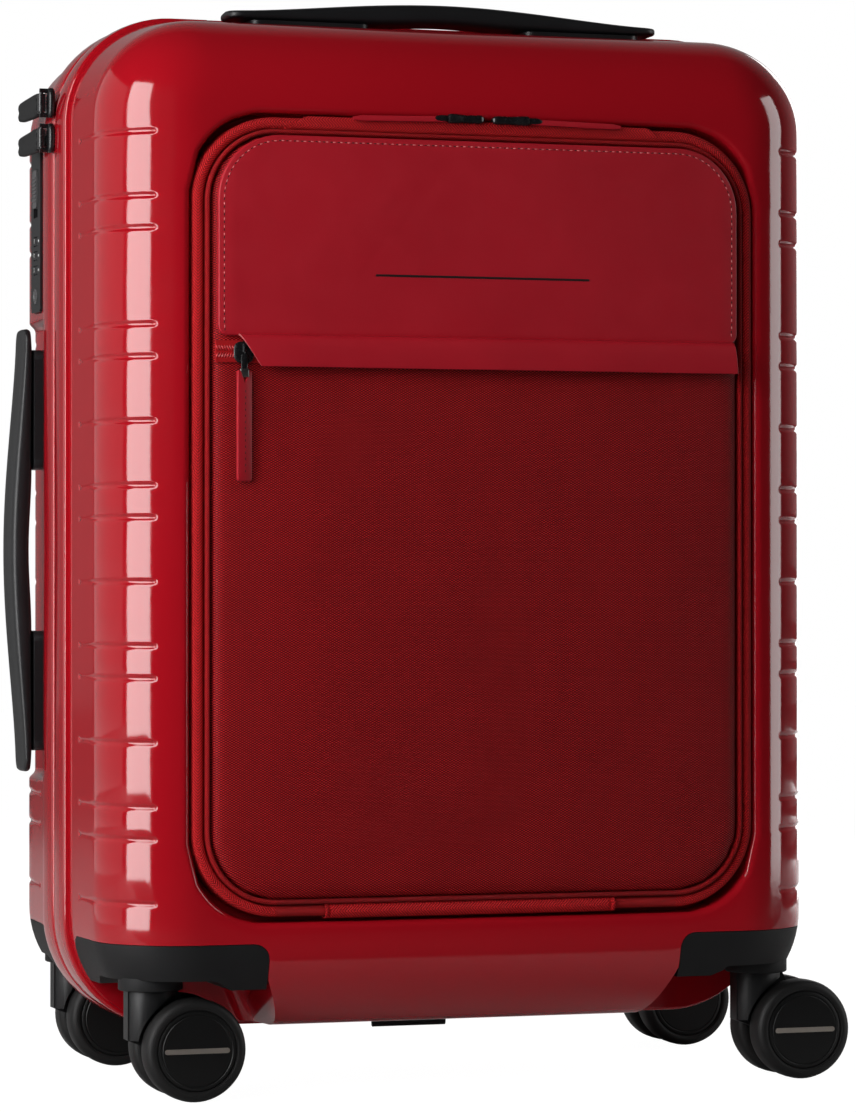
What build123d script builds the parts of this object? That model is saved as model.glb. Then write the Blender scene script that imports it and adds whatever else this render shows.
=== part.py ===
from build123d import *
import os

# Cabin suitcase with two moulded half shells, a zipped front pocket, a telescopic
# trolley and four twin-wheel casters. Millimetres, floor at z = 0, +Z up.
# The closed case is centred on x = 0, the shells part at y = 0, the front faces -Y.

# Shells
RIM_HALF = 190.0
RIM_BOTTOM = 31.0
RIM_TOP = 541.0
RIM_CORNER = 54.0
RIM_GAP = 6.0
FRONT_DEPTH = 112.0
REAR_DEPTH = 116.0
DRAFT = 2.5
EDGE_ROUND = 44.0
WALL = 2.5
LIP_DEPTH = 19.0
LIP_PROUD = 1.5
LIP_ROUND = 1.4
RIM_MID = (RIM_TOP + RIM_BOTTOM) / 2
RIM_HEIGHT = RIM_TOP - RIM_BOTTOM

# Embossed lines round the upright edges, on a grid of levels
GROOVE_FIRST = 98.0
GROOVE_PITCH = 15.75
GROOVE_LEVELS = (0, 2, 3, 5, 7, 8, 10, 12, 13, 15, 17, 18, 21, 22, 24)
GROOVE_HEIGHT = 2.4
GROOVE_DEPTH = 1.1
GROOVE_SIDE_END = 43.0
GROOVE_FACE_END = 164.0

# Zip between the shells and the strip that hinges them
PARTING_GAP = 0.15
TAPE_INSET = 0.5
TAPE_THICK = 1.9
COIL_WIDTH = 2.4
COIL_PROUD = 0.7
HINGE_STRIP_WIDE = 40.0
HINGE_STRIP_THICK = 1.0
HINGE_STRIP_BOTTOM = 100.0
HINGE_STRIP_TOP = 470.0
HINGE_STRIP_GAP = 1.3
TAB_HALF = 20.0
TAB_LOW = 22.5

# Wheel wells and corner guards
WELL_WALL = 108.0
WELL_WALL_LOW = 82.6
WELL_KNEE = 60.0
WELL_REACH = 32.0
WELL_ROUND = 8.0
GUARD_TOP = 78.0
GUARD_BOTTOM = 60.0
GUARD_FLOOR = 4.0
GUARD_SKIN = 3.5
GUARD_TOE = 57.0
GUARD_TOE_LONG = 14.0
FIT_GAP = 0.3

# Casters
STEM_X = 161.0
STEM_Y = 82.0
TRAIL = 18.5
WHEEL_R = 25.5
WHEEL_WIDE = 16.3
WHEEL_INNER = 5.2
WHEEL_EDGE = 4.0
TYRE_BORE = 20.3
HUB_SET_BACK = 0.6
AXLE_R = 3.0
RUNNING_GAP = 0.05
AXLE_HALF = 19.0
STEM_R = 12.5
STEM_LOW = 30.0
STEM_TOP = 56.6
SPINDLE_R = 6.0
SPINDLE_TOP = 77.0
COLLAR_R = 16.0
COLLAR_LOW = 57.0
WEB_HALF = 4.5
WHEEL_CLEAR = 1.7
AXLE_BOSS_R = 8.5

# Front pocket
POCKET_HALF = 148.0
POCKET_BOTTOM = 88.0
POCKET_TOP = 489.0
POCKET_CORNER = 38.0
LEDGE = 12.0
LEDGE_Y = 92.0
TRAY_BACK = 72.0
TRAY_WALL = 2.0
RING_OUT = 147.0
RING_BOTTOM = 91.0
RING_TOP = 484.0
RING_CORNER = 42.0
ZIP_BAND = 5.5
BINDING = 2.6
BAND_GAP = 0.4
RING_FRONT = 112.0
BINDING_FRONT = 114.0
BINDING_BACK = 100.0
PANEL_FRONT = 117.5
PANEL_BACK = 104.0
PANEL_ROUND = 3.0

# Leather panel, zip flap and the small zip below it
LEATHER_HALF = 136.5
LEATHER_BOTTOM = 376.5
LEATHER_CORNER = 37.0
LEATHER_THICK = 1.4
FLAP_BOTTOM = 360.0
FLAP_TOP = 376.3
FLAP_LEFT_TOP = -126.0
FLAP_LEFT_LOW = -115.5
FLAP_RIGHT = 135.0
FLAP_THICK = 1.0
FLAP_STAND = 3.6
FLAP_ROOT = 2.0
SMALL_ZIP_LOW = 363.0
SMALL_ZIP_HIGH = 373.0
SMALL_ZIP_LEFT = -137.0
SMALL_ZIP_RIGHT = 130.0
COIL_THICK = 0.7
PULL_X = -123.4
PULL_WIDE = 8.0
PULL_THICK = 2.2
PULL_LOW = 305.0
PULL_PIVOT = 358.5
PULL_EYE_R = 1.9
PULL_PIN_R = 0.9
PULL_PIN_GAP = 0.07
SMALL_SLIDER_LONG = 10.0

# Pocket zip sliders with their leather pulls
SLIDER_LONG = 19.4
SLIDER_LOW = 483.5
SLIDER_HIGH = 489.0
SLIDER_FRONT = 117.9
SLIDER_BACK = 112.6
LEFT_SLIDER_X = -7.8
RIGHT_SLIDER_X = 15.6
SLIDER_PULL_LONG = 50.0
SLIDER_PULL_LOW = 484.4
SLIDER_PULL_HIGH = 488.4
SLIDER_PULL_FRONT = 116.6
SLIDER_PULL_BACK = 113.4

# Carry handles, one on the top of the front shell and one on the left of the rear shell
HANDLE_HALF = 115.0
HANDLE_WIDE = 25.0
HANDLE_HIGH = 24.0
HANDLE_UNDER = 14.0
HANDLE_SEAT = 12.5
HANDLE_SHOULDER = 19.5
HANDLE_SHOULDER_AT = 75.0
HANDLE_TIP_LOW = 13.0
HANDLE_TIP_HIGH = 17.0
PLATE_NEAR = 42.0
PLATE_FAR = 104.0
PLATE_HIGH = 12.2
PLATE_WIDE = 27.0
PLATE_ROUND = 5.0
POST_AT = 73.0
POST_R = 4.0
POST_GAP = 0.06
POST_LOW = -18.0
POST_HEAD_R = 7.0
POST_HEAD_THICK = 3.0
POST_HOLE_R = 5.0
RECESS_HALF = 118.0
RECESS_NEAR = 24.0
RECESS_ROUND = 6.0
TOP_HANDLE_Y = -50.0
TOP_HANDLE_FLOOR = 526.0
SIDE_HANDLE_Y = 50.0
SIDE_HANDLE_Z = 272.0
SIDE_HANDLE_FLOOR = -181.0

# Combination lock on the left of the rear shell
LOCK_FACE = -189.9
LOCK_BACK = -170.0
LOCK_NEAR = 38.5
LOCK_FAR = 60.0
LOCK_LOW = 396.0
LOCK_HIGH = 492.0
LOCK_ROUND = 3.0
LOCK_MID = (LOCK_NEAR + LOCK_FAR) / 2
DIAL_X = -181.6
DIAL_R = 9.0
DIAL_THICK = 4.4
DIAL_SLOT_R = 9.35
DIAL_SLOT_THICK = 5.0
DIAL_FIRST = 418.0
DIAL_PITCH = 7.5
DIALS = 3
DIAL_SPINDLE_R = 1.9
DIAL_SPINDLE_GAP = 0.08
RELEASE_LOW = 450.2
RELEASE_HIGH = 470.2
RELEASE_HALF = 4.5
RELEASE_FACE = -191.2
RELEASE_SEAT = -187.2
RELEASE_TRAVEL = 4.5

# Main zip sliders and their pulls
MAIN_SLIDER_Z = (482.0, 500.0)
MAIN_SLIDER_INNER = -190.9
MAIN_SLIDER_OUTER = -195.4
MAIN_SLIDER_HALF_Y = 4.5
MAIN_SLIDER_HALF_Z = 7.5
MAIN_PIN_X = -197.6
MAIN_PIN_Y = 1.0
MAIN_PIN_R = 1.2
MAIN_PIN_GAP = 0.08
MAIN_EYE_R = 2.6
MAIN_EYE_HALF = 4.6
MAIN_LUG_THICK = 2.4
MAIN_PULL_TIP = 52.0
MAIN_PULL_INNER = -194.2
MAIN_PULL_OUTER = -199.2
MAIN_PULL_HALF_Z = 6.0

# Feet on the right side
FOOT_PROUD = 4.0
FOOT_HALF_Y = 7.0
FOOT_HALF_Z = 16.5
FOOT_LEVELS = (138.5, 444.0)
FOOT_Y = 50.0
FOOT_ROUND = 2.0

# Telescopic trolley in the rear shell
NOTCH_HALF = 126.0
NOTCH_NEAR = 70.0
NOTCH_FLOOR = 503.0
NOTCH_ROUND = 6.0
BEZEL_GAP = 0.1
BEZEL_WALL = 2.5
TUBE_X = 88.0
TUBE_Y = 90.0
TUBE_WIDE = 22.0
TUBE_DEEP = 16.0
TUBE_WALL = 1.2
TUBE_GAP = 0.2
TUBE_CORNER = 5.0
OUTER_TUBE_LOW = 62.0
OUTER_TUBE_TOP = 503.0
STAGE_STEP = 4.0
GRIP_HALF = 122.5
GRIP_NEAR = 73.4
GRIP_LOW = 508.0
GRIP_INSET = 0.6
GRIP_ARCH_HALF = 70.0
GRIP_ARCH_TOP = 514.0
SOCKET_DEEP = 5.0
BUTTON_HALF = 17.0
BUTTON_DEEP = 12.0
BUTTON_LOW = 516.0
BUTTON_TRAVEL = 3.0
BUTTON_Y = 86.0
FOOT_BRACKET_LOW = 56.0
FOOT_BRACKET_HIGH = 110.0
FOOT_BRACKET_STRAP = 2.5
FOOT_PAD_LOW = 90.0
FOOT_PAD_HIGH = 106.0

# Cover board over the tubes and the packing straps on it
COVER_HALF = 122.0
COVER_LOW = 84.0
COVER_HIGH = 497.0
COVER_NEAR = 76.0
COVER_WALL = 3.0
COVER_ROUND = 8.0
STRAP_LEVELS = (215.0, 365.0)
STRAP_WIDE = 25.0
STRAP_THICK = 1.5
STRAP_GAP = 0.2
BUCKLE_LONG = 46.0
BUCKLE_HIGH = 34.0
BUCKLE_THICK = 7.0

FAR = 300.0
SKIN = 0.5

os.makedirs("parts", exist_ok=True)


def store(name, shape):
    """Writes one named piece."""
    export_step(shape, f"parts/{name}.step")


def block(x0, x1, y0, y1, z0, z1):
    """Box between two corners."""
    middle = Pos((x0 + x1) / 2, (y0 + y1) / 2, (z0 + z1) / 2)
    return middle * Box(x1 - x0, y1 - y0, z1 - z0)


def upright(x, y, radius, z0, z1):
    """Cylinder along Z between two levels."""
    return Pos(x, y, (z0 + z1) / 2) * Cylinder(radius, z1 - z0)


def along_y(x, z, radius, y0, y1):
    """Cylinder along Y between two depths."""
    return Pos(x, (y0 + y1) / 2, z) * Rot(90, 0, 0) * Cylinder(radius, y1 - y0)


def along_x(y, z, radius, x0, x1):
    """Cylinder along X between two places."""
    return Pos((x0 + x1) / 2, y, z) * Rot(0, 90, 0) * Cylinder(radius, x1 - x0)


def slab(half, low, high, corner, y_back, y_front):
    """Rounded rectangle seen from the front, solid from y = -y_back to y = -y_front."""
    outline = Pos(0, (low + high) / 2) * RectangleRounded(2 * half, high - low, corner)
    return extrude(Plane.XZ.offset(y_back) * outline, y_front - y_back)


def band(half, low, high, corner, thick, y_back, y_front):
    """Ring of even thickness inside a rounded rectangle seen from the front."""
    outer = slab(half, low, high, corner, y_back, y_front)
    inner = slab(half - thick, low + thick, high - thick, corner - thick, y_back - SKIN, y_front + SKIN)
    return outer - inner


def group(shapes):
    """Several solids kept apart in one piece."""
    return Compound([solid for shape in shapes for solid in shape.solids()])


def left_of(shape):
    """Same shape on the other side of the case."""
    return mirror(shape, Plane.YZ)


def rear_of(shape):
    """Same shape in the other half of the case."""
    return mirror(shape, Plane.XZ)


# Half shells, drawn for the front half

def bowl(inset, depth):
    """Solid half shell moved in evenly from the outside."""
    half = RIM_HALF - inset
    outline = Pos(0, RIM_MID) * RectangleRounded(2 * half, RIM_HEIGHT - 2 * inset, RIM_CORNER - inset)
    body = extrude(Plane.XZ.offset(RIM_GAP) * outline, depth - RIM_GAP - inset, taper=DRAFT)
    face = body.faces().sort_by(Axis.Y)[0]
    return fillet(face.edges(), EDGE_ROUND - inset)


def lip():
    """Rounded rim that stands proud of the shell beside the zip."""
    half = RIM_HALF + LIP_PROUD
    low = RIM_BOTTOM - LIP_PROUD
    high = RIM_TOP + LIP_PROUD
    ring = slab(half, low, high, RIM_CORNER + LIP_PROUD, RIM_GAP, RIM_GAP + LIP_DEPTH)
    ring = fillet(ring.faces().sort_by(Axis.Y)[0].edges(), LIP_ROUND)
    ring = fillet(ring.faces().sort_by(Axis.Y)[-1].edges(), LIP_ROUND)
    less = WALL - SKIN
    inner = slab(RIM_HALF - less, RIM_BOTTOM + less, RIM_TOP - less, RIM_CORNER - less, 0, FAR)
    return ring - inner


def well(grow):
    """Wheel well of the front right corner, its faces moved into the case by grow."""
    high = WELL_WALL - grow
    top = GUARD_TOP + grow
    corners = [(WELL_WALL_LOW - grow, 0), (high, WELL_KNEE), (high, top), (FAR, top), (FAR, 0)]
    section = Plane.XZ.offset(WELL_REACH - grow) * make_face(Polyline(corners, close=True))
    space = extrude(section, FAR)
    back = space.faces().sort_by(Axis.Y)[-1]
    return fillet(back.edges(), WELL_ROUND + grow)


def grooves(shell, depth):
    """Embossed lines cut into the upright edges of a front half shell."""
    skin = bowl(0, depth) - bowl(GROOVE_DEPTH, depth)
    region = block(GROOVE_FACE_END, FAR, -FAR, -GROOVE_SIDE_END, 0, 2 * FAR)
    side = skin & region
    for level in GROOVE_LEVELS:
        z = GROOVE_FIRST + GROOVE_PITCH * level
        line = side & block(0, FAR, -FAR, 0, z - GROOVE_HEIGHT / 2, z + GROOVE_HEIGHT / 2)
        shell -= line
        shell -= left_of(line)
    return shell


def pocket_space(grow):
    """Recess for the pocket, its faces moved into the case by grow."""
    return slab(
        POCKET_HALF + grow, POCKET_BOTTOM - grow, POCKET_TOP + grow, POCKET_CORNER + grow,
        LEDGE_Y - grow, FAR,
    )


def top_recess(grow):
    """Recess for the top handle, open to the front."""
    space = block(
        -RECESS_HALF - grow, RECESS_HALF + grow, -FAR, -RECESS_NEAR + grow,
        TOP_HANDLE_FLOOR - grow, 2 * FAR,
    )
    return fillet(space.edges().filter_by(Axis.Z), RECESS_ROUND + grow)


def side_recess(grow):
    """Recess for the side handle, open to the rear."""
    space = block(
        -FAR, SIDE_HANDLE_FLOOR + grow, RECESS_NEAR - grow, FAR,
        SIDE_HANDLE_Z - RECESS_HALF - grow, SIDE_HANDLE_Z + RECESS_HALF + grow,
    )
    return fillet(space.edges().filter_by(Axis.X), RECESS_ROUND + grow)


def notch(grow):
    """Space for the stowed trolley grip, open to the top and to the rear."""
    half = NOTCH_HALF + grow
    space = block(-half, half, NOTCH_NEAR - grow, FAR, NOTCH_FLOOR - grow, 2 * FAR)
    return fillet(space.edges().filter_by(Axis.Z), NOTCH_ROUND + grow)


def tube(level, z0, z1):
    """Pair of tube walls, level counts the stages inwards."""
    less = 2 * level * (TUBE_WALL + TUBE_GAP)
    corner = TUBE_CORNER - less / 2
    outline = RectangleRounded(TUBE_WIDE - less, TUBE_DEEP - less, corner)
    inner_less = less + 2 * TUBE_WALL
    bore = RectangleRounded(TUBE_WIDE - inner_less, TUBE_DEEP - inner_less, corner - TUBE_WALL)
    wall = extrude(Pos(TUBE_X, TUBE_Y, z0) * (outline - bore), z1 - z0)
    return wall + left_of(wall)


def tube_space(level, grow, z0, z1):
    """Pair of solid tube outlines, grown for clearance."""
    less = 2 * level * (TUBE_WALL + TUBE_GAP) - 2 * grow
    outline = RectangleRounded(TUBE_WIDE - less, TUBE_DEEP - less, TUBE_CORNER - less / 2)
    space = extrude(Pos(TUBE_X, TUBE_Y, z0) * outline, z1 - z0)
    return space + left_of(space)


# Carry handle, drawn lengthwise along X on a recess floor at z = 0

def handle():
    """Grip bar with two guide posts that end in stop heads."""
    top = Spline(
        (-HANDLE_HALF, HANDLE_TIP_HIGH), (-HANDLE_SHOULDER_AT, HANDLE_SHOULDER), (0, HANDLE_HIGH),
        (HANDLE_SHOULDER_AT, HANDLE_SHOULDER), (HANDLE_HALF, HANDLE_TIP_HIGH),
    )
    seat_end = PLATE_FAR - POST_R
    arch = Spline(
        (PLATE_NEAR, HANDLE_SEAT), (0, HANDLE_UNDER), (-PLATE_NEAR, HANDLE_SEAT),
        tangents=[(-1, 0), (-1, 0)],
    )
    edges = [top, arch]
    for side in (-1, 1):
        tip = (side * HANDLE_HALF, HANDLE_TIP_LOW)
        seat = (side * seat_end, HANDLE_SEAT)
        edges.append(Line((side * HANDLE_HALF, HANDLE_TIP_HIGH), tip))
        edges.append(Line(tip, seat))
        edges.append(Line(seat, (side * PLATE_NEAR, HANDLE_SEAT)))
    profile = make_face(edges)
    bar = extrude(Plane.XZ * profile, HANDLE_WIDE / 2, both=True)
    for side in (-1, 1):
        x = side * POST_AT
        bar += upright(x, 0, POST_R, POST_LOW, HANDLE_SEAT + 1)
        bar += upright(x, 0, POST_HEAD_R, POST_LOW - POST_HEAD_THICK, POST_LOW)
    return bar


def handle_plates():
    """Two end plates that guide the posts."""
    plate = block(PLATE_NEAR, PLATE_FAR, -PLATE_WIDE / 2, PLATE_WIDE / 2, 0, PLATE_HIGH)
    plate = fillet(plate.edges().filter_by(Axis.Z), PLATE_ROUND)
    plate -= upright(POST_AT, 0, POST_R + POST_GAP, -SKIN, PLATE_HIGH + SKIN)
    return plate + left_of(plate)


def post_holes():
    """Holes in the recess floor for the two posts."""
    holes = upright(POST_AT, 0, POST_HOLE_R, -2 * WALL, WALL)
    return holes + left_of(holes)


top_place = Pos(0, TOP_HANDLE_Y, TOP_HANDLE_FLOOR)
side_place = Pos(SIDE_HANDLE_FLOOR, SIDE_HANDLE_Y, SIDE_HANDLE_Z) * Rot(0, -90, 0)

# Front shell

front_outer = bowl(0, FRONT_DEPTH)
front_inner = bowl(WALL, FRONT_DEPTH)
wells = well(0) + left_of(well(0))
wells_grown = well(WALL) + left_of(well(WALL))

front_shell = front_outer + lip()
front_shell -= wells
front_shell -= pocket_space(0)
front_shell -= top_recess(0)
front_void = front_inner - wells_grown - pocket_space(WALL) - top_recess(WALL)
front_shell -= front_void
front_shell -= slab(
    POCKET_HALF - LEDGE, POCKET_BOTTOM + LEDGE, POCKET_TOP - LEDGE, POCKET_CORNER - LEDGE / 2, RIM_GAP, FAR
)
front_shell -= top_place * post_holes()
front_shell = grooves(front_shell, FRONT_DEPTH)
store("front_shell", front_shell)

# Rear shell, drawn in the front half and turned over

rear_outer = bowl(0, REAR_DEPTH)
rear_inner = bowl(WALL, REAR_DEPTH)
rear_shell = rear_outer + lip()
rear_shell -= wells
rear_shell -= rear_inner - wells_grown - rear_of(notch(WALL)) - rear_of(side_recess(WALL))
rear_shell = rear_of(grooves(rear_shell, REAR_DEPTH))
rear_shell -= notch(0)
rear_shell -= side_recess(0)
rear_shell -= tube_space(0, FIT_GAP, NOTCH_FLOOR - 2 * WALL, NOTCH_FLOOR + WALL)
rear_shell -= side_place * post_holes()
rear_shell -= block(
    -FAR, LOCK_BACK - FIT_GAP, LOCK_NEAR - FIT_GAP, LOCK_FAR + FIT_GAP,
    LOCK_LOW - FIT_GAP, LOCK_HIGH + FIT_GAP,
)
store("rear_shell", rear_shell)

# Zip tapes on the shell rims, and the coil along their meeting edges

tape = band(
    RIM_HALF - TAPE_INSET, RIM_BOTTOM + TAPE_INSET, RIM_TOP - TAPE_INSET, RIM_CORNER - TAPE_INSET,
    TAPE_THICK, PARTING_GAP, RIM_GAP,
)
coil_inset = TAPE_INSET - COIL_PROUD
coil = band(
    RIM_HALF - coil_inset, RIM_BOTTOM + coil_inset, RIM_TOP - coil_inset, RIM_CORNER - coil_inset,
    TAPE_THICK + COIL_PROUD, PARTING_GAP, COIL_WIDTH,
)
front_zip_tape = tape + coil
store("front_zip_tape", front_zip_tape)
store("rear_zip_tape", rear_of(front_zip_tape))

strip_x = RIM_HALF - WALL - HINGE_STRIP_GAP
hinge_strip = block(
    strip_x - HINGE_STRIP_THICK, strip_x, -HINGE_STRIP_WIDE / 2, HINGE_STRIP_WIDE / 2,
    HINGE_STRIP_BOTTOM, HINGE_STRIP_TOP,
)
store("hinge_strip", hinge_strip)

tab_back = RIM_GAP - PARTING_GAP
tab = block(-TAB_HALF, TAB_HALF, COIL_WIDTH + PARTING_GAP, tab_back, TAB_LOW, RIM_BOTTOM + TAPE_INSET)
tab = fillet(tab.edges().filter_by(Axis.X).group_by(Axis.Z)[0], WALL / 2)
store("bottom_tab", tab)

# Corner guards under the wheel wells

def guard(depth):
    """Guard of the front right corner, flush with a shell of the given depth."""
    space = well(-FIT_GAP)
    skin = bowl(0, depth) - bowl(GUARD_SKIN, depth)
    body = bowl(0, depth) & space & block(0, FAR, -FAR, 0, GUARD_BOTTOM, GUARD_TOP - FIT_GAP)
    boss = upright(STEM_X, -STEM_Y, COLLAR_R, COLLAR_LOW, GUARD_TOP - FIT_GAP)
    hollow = bowl(GUARD_SKIN, depth) & well(-FIT_GAP - GUARD_SKIN)
    hollow &= block(0, FAR, -FAR, 0, GUARD_BOTTOM + GUARD_FLOOR, GUARD_TOP)
    body -= hollow
    toes = skin & space & block(0, FAR, -FAR, 0, GUARD_TOE, GUARD_BOTTOM)
    front_toe = toes & block(0, WELL_WALL + GUARD_TOE_LONG, -FAR, 0, 0, FAR)
    side_toe = toes & block(0, FAR, -WELL_REACH - GUARD_TOE_LONG, 0, 0, FAR)
    body += front_toe
    body += side_toe
    body += boss
    return body - upright(STEM_X, -STEM_Y, SPINDLE_R + RUNNING_GAP, 0, FAR)


front_guard = guard(FRONT_DEPTH)
rear_guard = rear_of(guard(REAR_DEPTH))
store("front_guard_right", front_guard)
store("front_guard_left", left_of(front_guard))
store("rear_guard_right", rear_guard)
store("rear_guard_left", left_of(rear_guard))

# Casters, drawn round a stem axis at x = y = 0 with the wheels trailing to +X

def fork():
    """Fork with stem and swivel spindle, cut away round both wheels."""
    body = upright(0, 0, STEM_R, STEM_LOW, STEM_TOP)
    corners = [
        (-STEM_R, STEM_LOW), (-STEM_R, STEM_TOP - WHEEL_CLEAR), (STEM_R, STEM_TOP - WHEEL_CLEAR),
        (TRAIL + AXLE_BOSS_R, WHEEL_R), (TRAIL, WHEEL_R - AXLE_BOSS_R),
    ]
    web = extrude(Plane.XZ * make_face(Polyline(corners, close=True)), WEB_HALF, both=True)
    web += along_y(TRAIL, WHEEL_R, AXLE_BOSS_R, -WEB_HALF, WEB_HALF)
    for side in (-1, 1):
        near = side * (WEB_HALF + FIT_GAP)
        far = side * 2 * STEM_R
        body -= along_y(TRAIL, WHEEL_R, WHEEL_R + WHEEL_CLEAR, min(near, far), max(near, far))
    body += web
    body += upright(0, 0, SPINDLE_R, STEM_TOP - 1, SPINDLE_TOP)
    return body - along_y(TRAIL, WHEEL_R, AXLE_R + RUNNING_GAP / 2, -STEM_R, STEM_R)


def axle():
    """Wheel axle."""
    return along_y(TRAIL, WHEEL_R, AXLE_R, -AXLE_HALF, AXLE_HALF)


def wheel():
    """Wheel on the +Y side of the fork: rounded tyre on a capped hub."""
    outer = WHEEL_INNER + WHEEL_WIDE
    tread = along_y(TRAIL, WHEEL_R, WHEEL_R, WHEEL_INNER, outer)
    rim_edges = tread.edges().filter_by(GeomType.CIRCLE)
    tread = fillet(rim_edges, WHEEL_EDGE)
    tyre = tread - along_y(TRAIL, WHEEL_R, TYRE_BORE, 0, 2 * outer)
    hub = along_y(TRAIL, WHEEL_R, TYRE_BORE, WHEEL_INNER, outer - HUB_SET_BACK)
    hub -= along_y(TRAIL, WHEEL_R, AXLE_R + RUNNING_GAP, 0, AXLE_HALF + FIT_GAP)
    return group([tyre, hub])


for end, y in (("front", -STEM_Y), ("rear", STEM_Y)):
    for side, x in (("left", -STEM_X), ("right", STEM_X)):
        place = Pos(x, y, 0)
        store(f"fork_{end}_{side}", place * fork())
        store(f"axle_{end}_{side}", place * axle())
        store(f"wheel_{end}_{side}_a", place * rear_of(wheel()))
        store(f"wheel_{end}_{side}_b", place * wheel())

# Front pocket: tray behind the opening, zip band on its edge, then the door

tray_half = POCKET_HALF - LEDGE + 2 * TRAY_WALL
tray_low = POCKET_BOTTOM + LEDGE - 2 * TRAY_WALL
tray_high = POCKET_TOP - LEDGE + 2 * TRAY_WALL
tray_corner = POCKET_CORNER - LEDGE / 2
ledge_back = LEDGE_Y - WALL
pocket_tray = slab(tray_half, tray_low, tray_high, tray_corner, TRAY_BACK, ledge_back)
pocket_tray -= slab(
    tray_half - TRAY_WALL, tray_low + TRAY_WALL, tray_high - TRAY_WALL, tray_corner - TRAY_WALL,
    TRAY_BACK + TRAY_WALL, FAR,
)
store("pocket_tray", pocket_tray)

pocket_zip_band = band(RING_OUT, RING_BOTTOM, RING_TOP, RING_CORNER, ZIP_BAND, LEDGE_Y, RING_FRONT)
store("pocket_zip_band", pocket_zip_band)

inset = ZIP_BAND + BAND_GAP
door_binding = band(
    RING_OUT - inset, RING_BOTTOM + inset, RING_TOP - inset, RING_CORNER - inset, BINDING,
    BINDING_BACK, BINDING_FRONT,
)
store("door_binding", door_binding)

panel_inset = inset + BINDING
pocket_panel = slab(
    RING_OUT - panel_inset, RING_BOTTOM + panel_inset, RING_TOP - panel_inset,
    RING_CORNER - panel_inset, PANEL_BACK, PANEL_FRONT,
)
pocket_panel = fillet(pocket_panel.faces().sort_by(Axis.Y)[0].edges(), PANEL_ROUND)
store("pocket_panel", pocket_panel)

leather_face = PANEL_FRONT + LEATHER_THICK
leather_panel = slab(
    LEATHER_HALF - PANEL_ROUND, LEATHER_BOTTOM - 2 * LEATHER_CORNER, RING_TOP - panel_inset - PANEL_ROUND,
    RING_CORNER - panel_inset - PANEL_ROUND, PANEL_FRONT, leather_face,
)
leather_panel &= block(-FAR, FAR, -FAR, 0, LEATHER_BOTTOM, 2 * FAR)
store("leather_panel", leather_panel)

# Zip flap that stands off the panel, open below for the small slider

flap_back = PANEL_FRONT + FLAP_STAND
flap_front = flap_back + FLAP_THICK
flap_corners = [
    (FLAP_LEFT_TOP, FLAP_TOP), (FLAP_RIGHT, FLAP_TOP),
    (FLAP_RIGHT, FLAP_BOTTOM), (FLAP_LEFT_LOW, FLAP_BOTTOM),
]
flap_outline = Plane.XZ.offset(flap_back) * make_face(Polyline(flap_corners, close=True))
zip_flap = extrude(flap_outline, FLAP_THICK)
zip_flap += block(FLAP_LEFT_TOP, FLAP_RIGHT, -flap_front, -PANEL_FRONT, FLAP_TOP - FLAP_ROOT, FLAP_TOP)
store("zip_flap", zip_flap)

coil_front = PANEL_FRONT + COIL_THICK
small_zip_coil = block(
    SMALL_ZIP_LEFT, SMALL_ZIP_RIGHT, -coil_front, -PANEL_FRONT, SMALL_ZIP_LOW, SMALL_ZIP_HIGH,
)
store("small_zip_coil", small_zip_coil)

# Small slider with lugs and a pin, and the leather pull that swings on it

pull_back = coil_front + FIT_GAP
pull_front = pull_back + PULL_THICK
pull_mid = (pull_back + pull_front) / 2
lug_thick = PULL_PIN_R + FIT_GAP
pull_half = PULL_WIDE / 2
lug_half = pull_half + FIT_GAP + lug_thick
small_slider = block(
    PULL_X - SMALL_SLIDER_LONG / 2, PULL_X + SMALL_SLIDER_LONG / 2, -pull_front, -pull_back,
    PULL_PIVOT + 2 * PULL_EYE_R, SMALL_ZIP_HIGH,
)
for side in (-1, 1):
    near = PULL_X + side * (lug_half - lug_thick)
    far = PULL_X + side * lug_half
    small_slider += block(
        min(near, far), max(near, far), -pull_front, -pull_back,
        PULL_PIVOT - PULL_EYE_R, SMALL_ZIP_HIGH,
    )
small_slider += along_x(-pull_mid, PULL_PIVOT, PULL_PIN_R, PULL_X - lug_half, PULL_X + lug_half)
store("small_zip_slider", small_slider)

zip_pull = block(
    PULL_X - pull_half, PULL_X + pull_half, -pull_front, -pull_back, PULL_LOW, PULL_PIVOT,
)
zip_pull += along_x(-pull_mid, PULL_PIVOT, PULL_THICK / 2, PULL_X - pull_half, PULL_X + pull_half)
zip_pull -= along_x(-pull_mid, PULL_PIVOT, PULL_PIN_R + PULL_PIN_GAP, PULL_X - FAR, PULL_X + FAR)
store("small_zip_pull", zip_pull)

# Pocket zip sliders, each with a leather pull that lies along the top edge

def pocket_slider(x, side):
    """Slider body at x with its pull to one side."""
    half = SLIDER_LONG / 2
    body = block(x - half, x + half, -SLIDER_FRONT, -SLIDER_BACK, SLIDER_LOW, SLIDER_HIGH)
    body = fillet(body.edges().filter_by(Axis.Y), WALL / 2)
    near = x + side * half
    far = near + side * SLIDER_PULL_LONG
    pull = block(
        min(near, far), max(near, far), -SLIDER_PULL_FRONT, -SLIDER_PULL_BACK,
        SLIDER_PULL_LOW, SLIDER_PULL_HIGH,
    )
    return body + pull


store("pocket_slider_left", pocket_slider(LEFT_SLIDER_X, -1))
store("pocket_slider_right", pocket_slider(RIGHT_SLIDER_X, 1))

# Carry handles

store("top_handle", top_place * handle())
store("top_handle_plates", top_place * handle_plates())
store("side_handle", side_place * handle())
store("side_handle_plates", side_place * handle_plates())

# Combination lock

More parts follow.
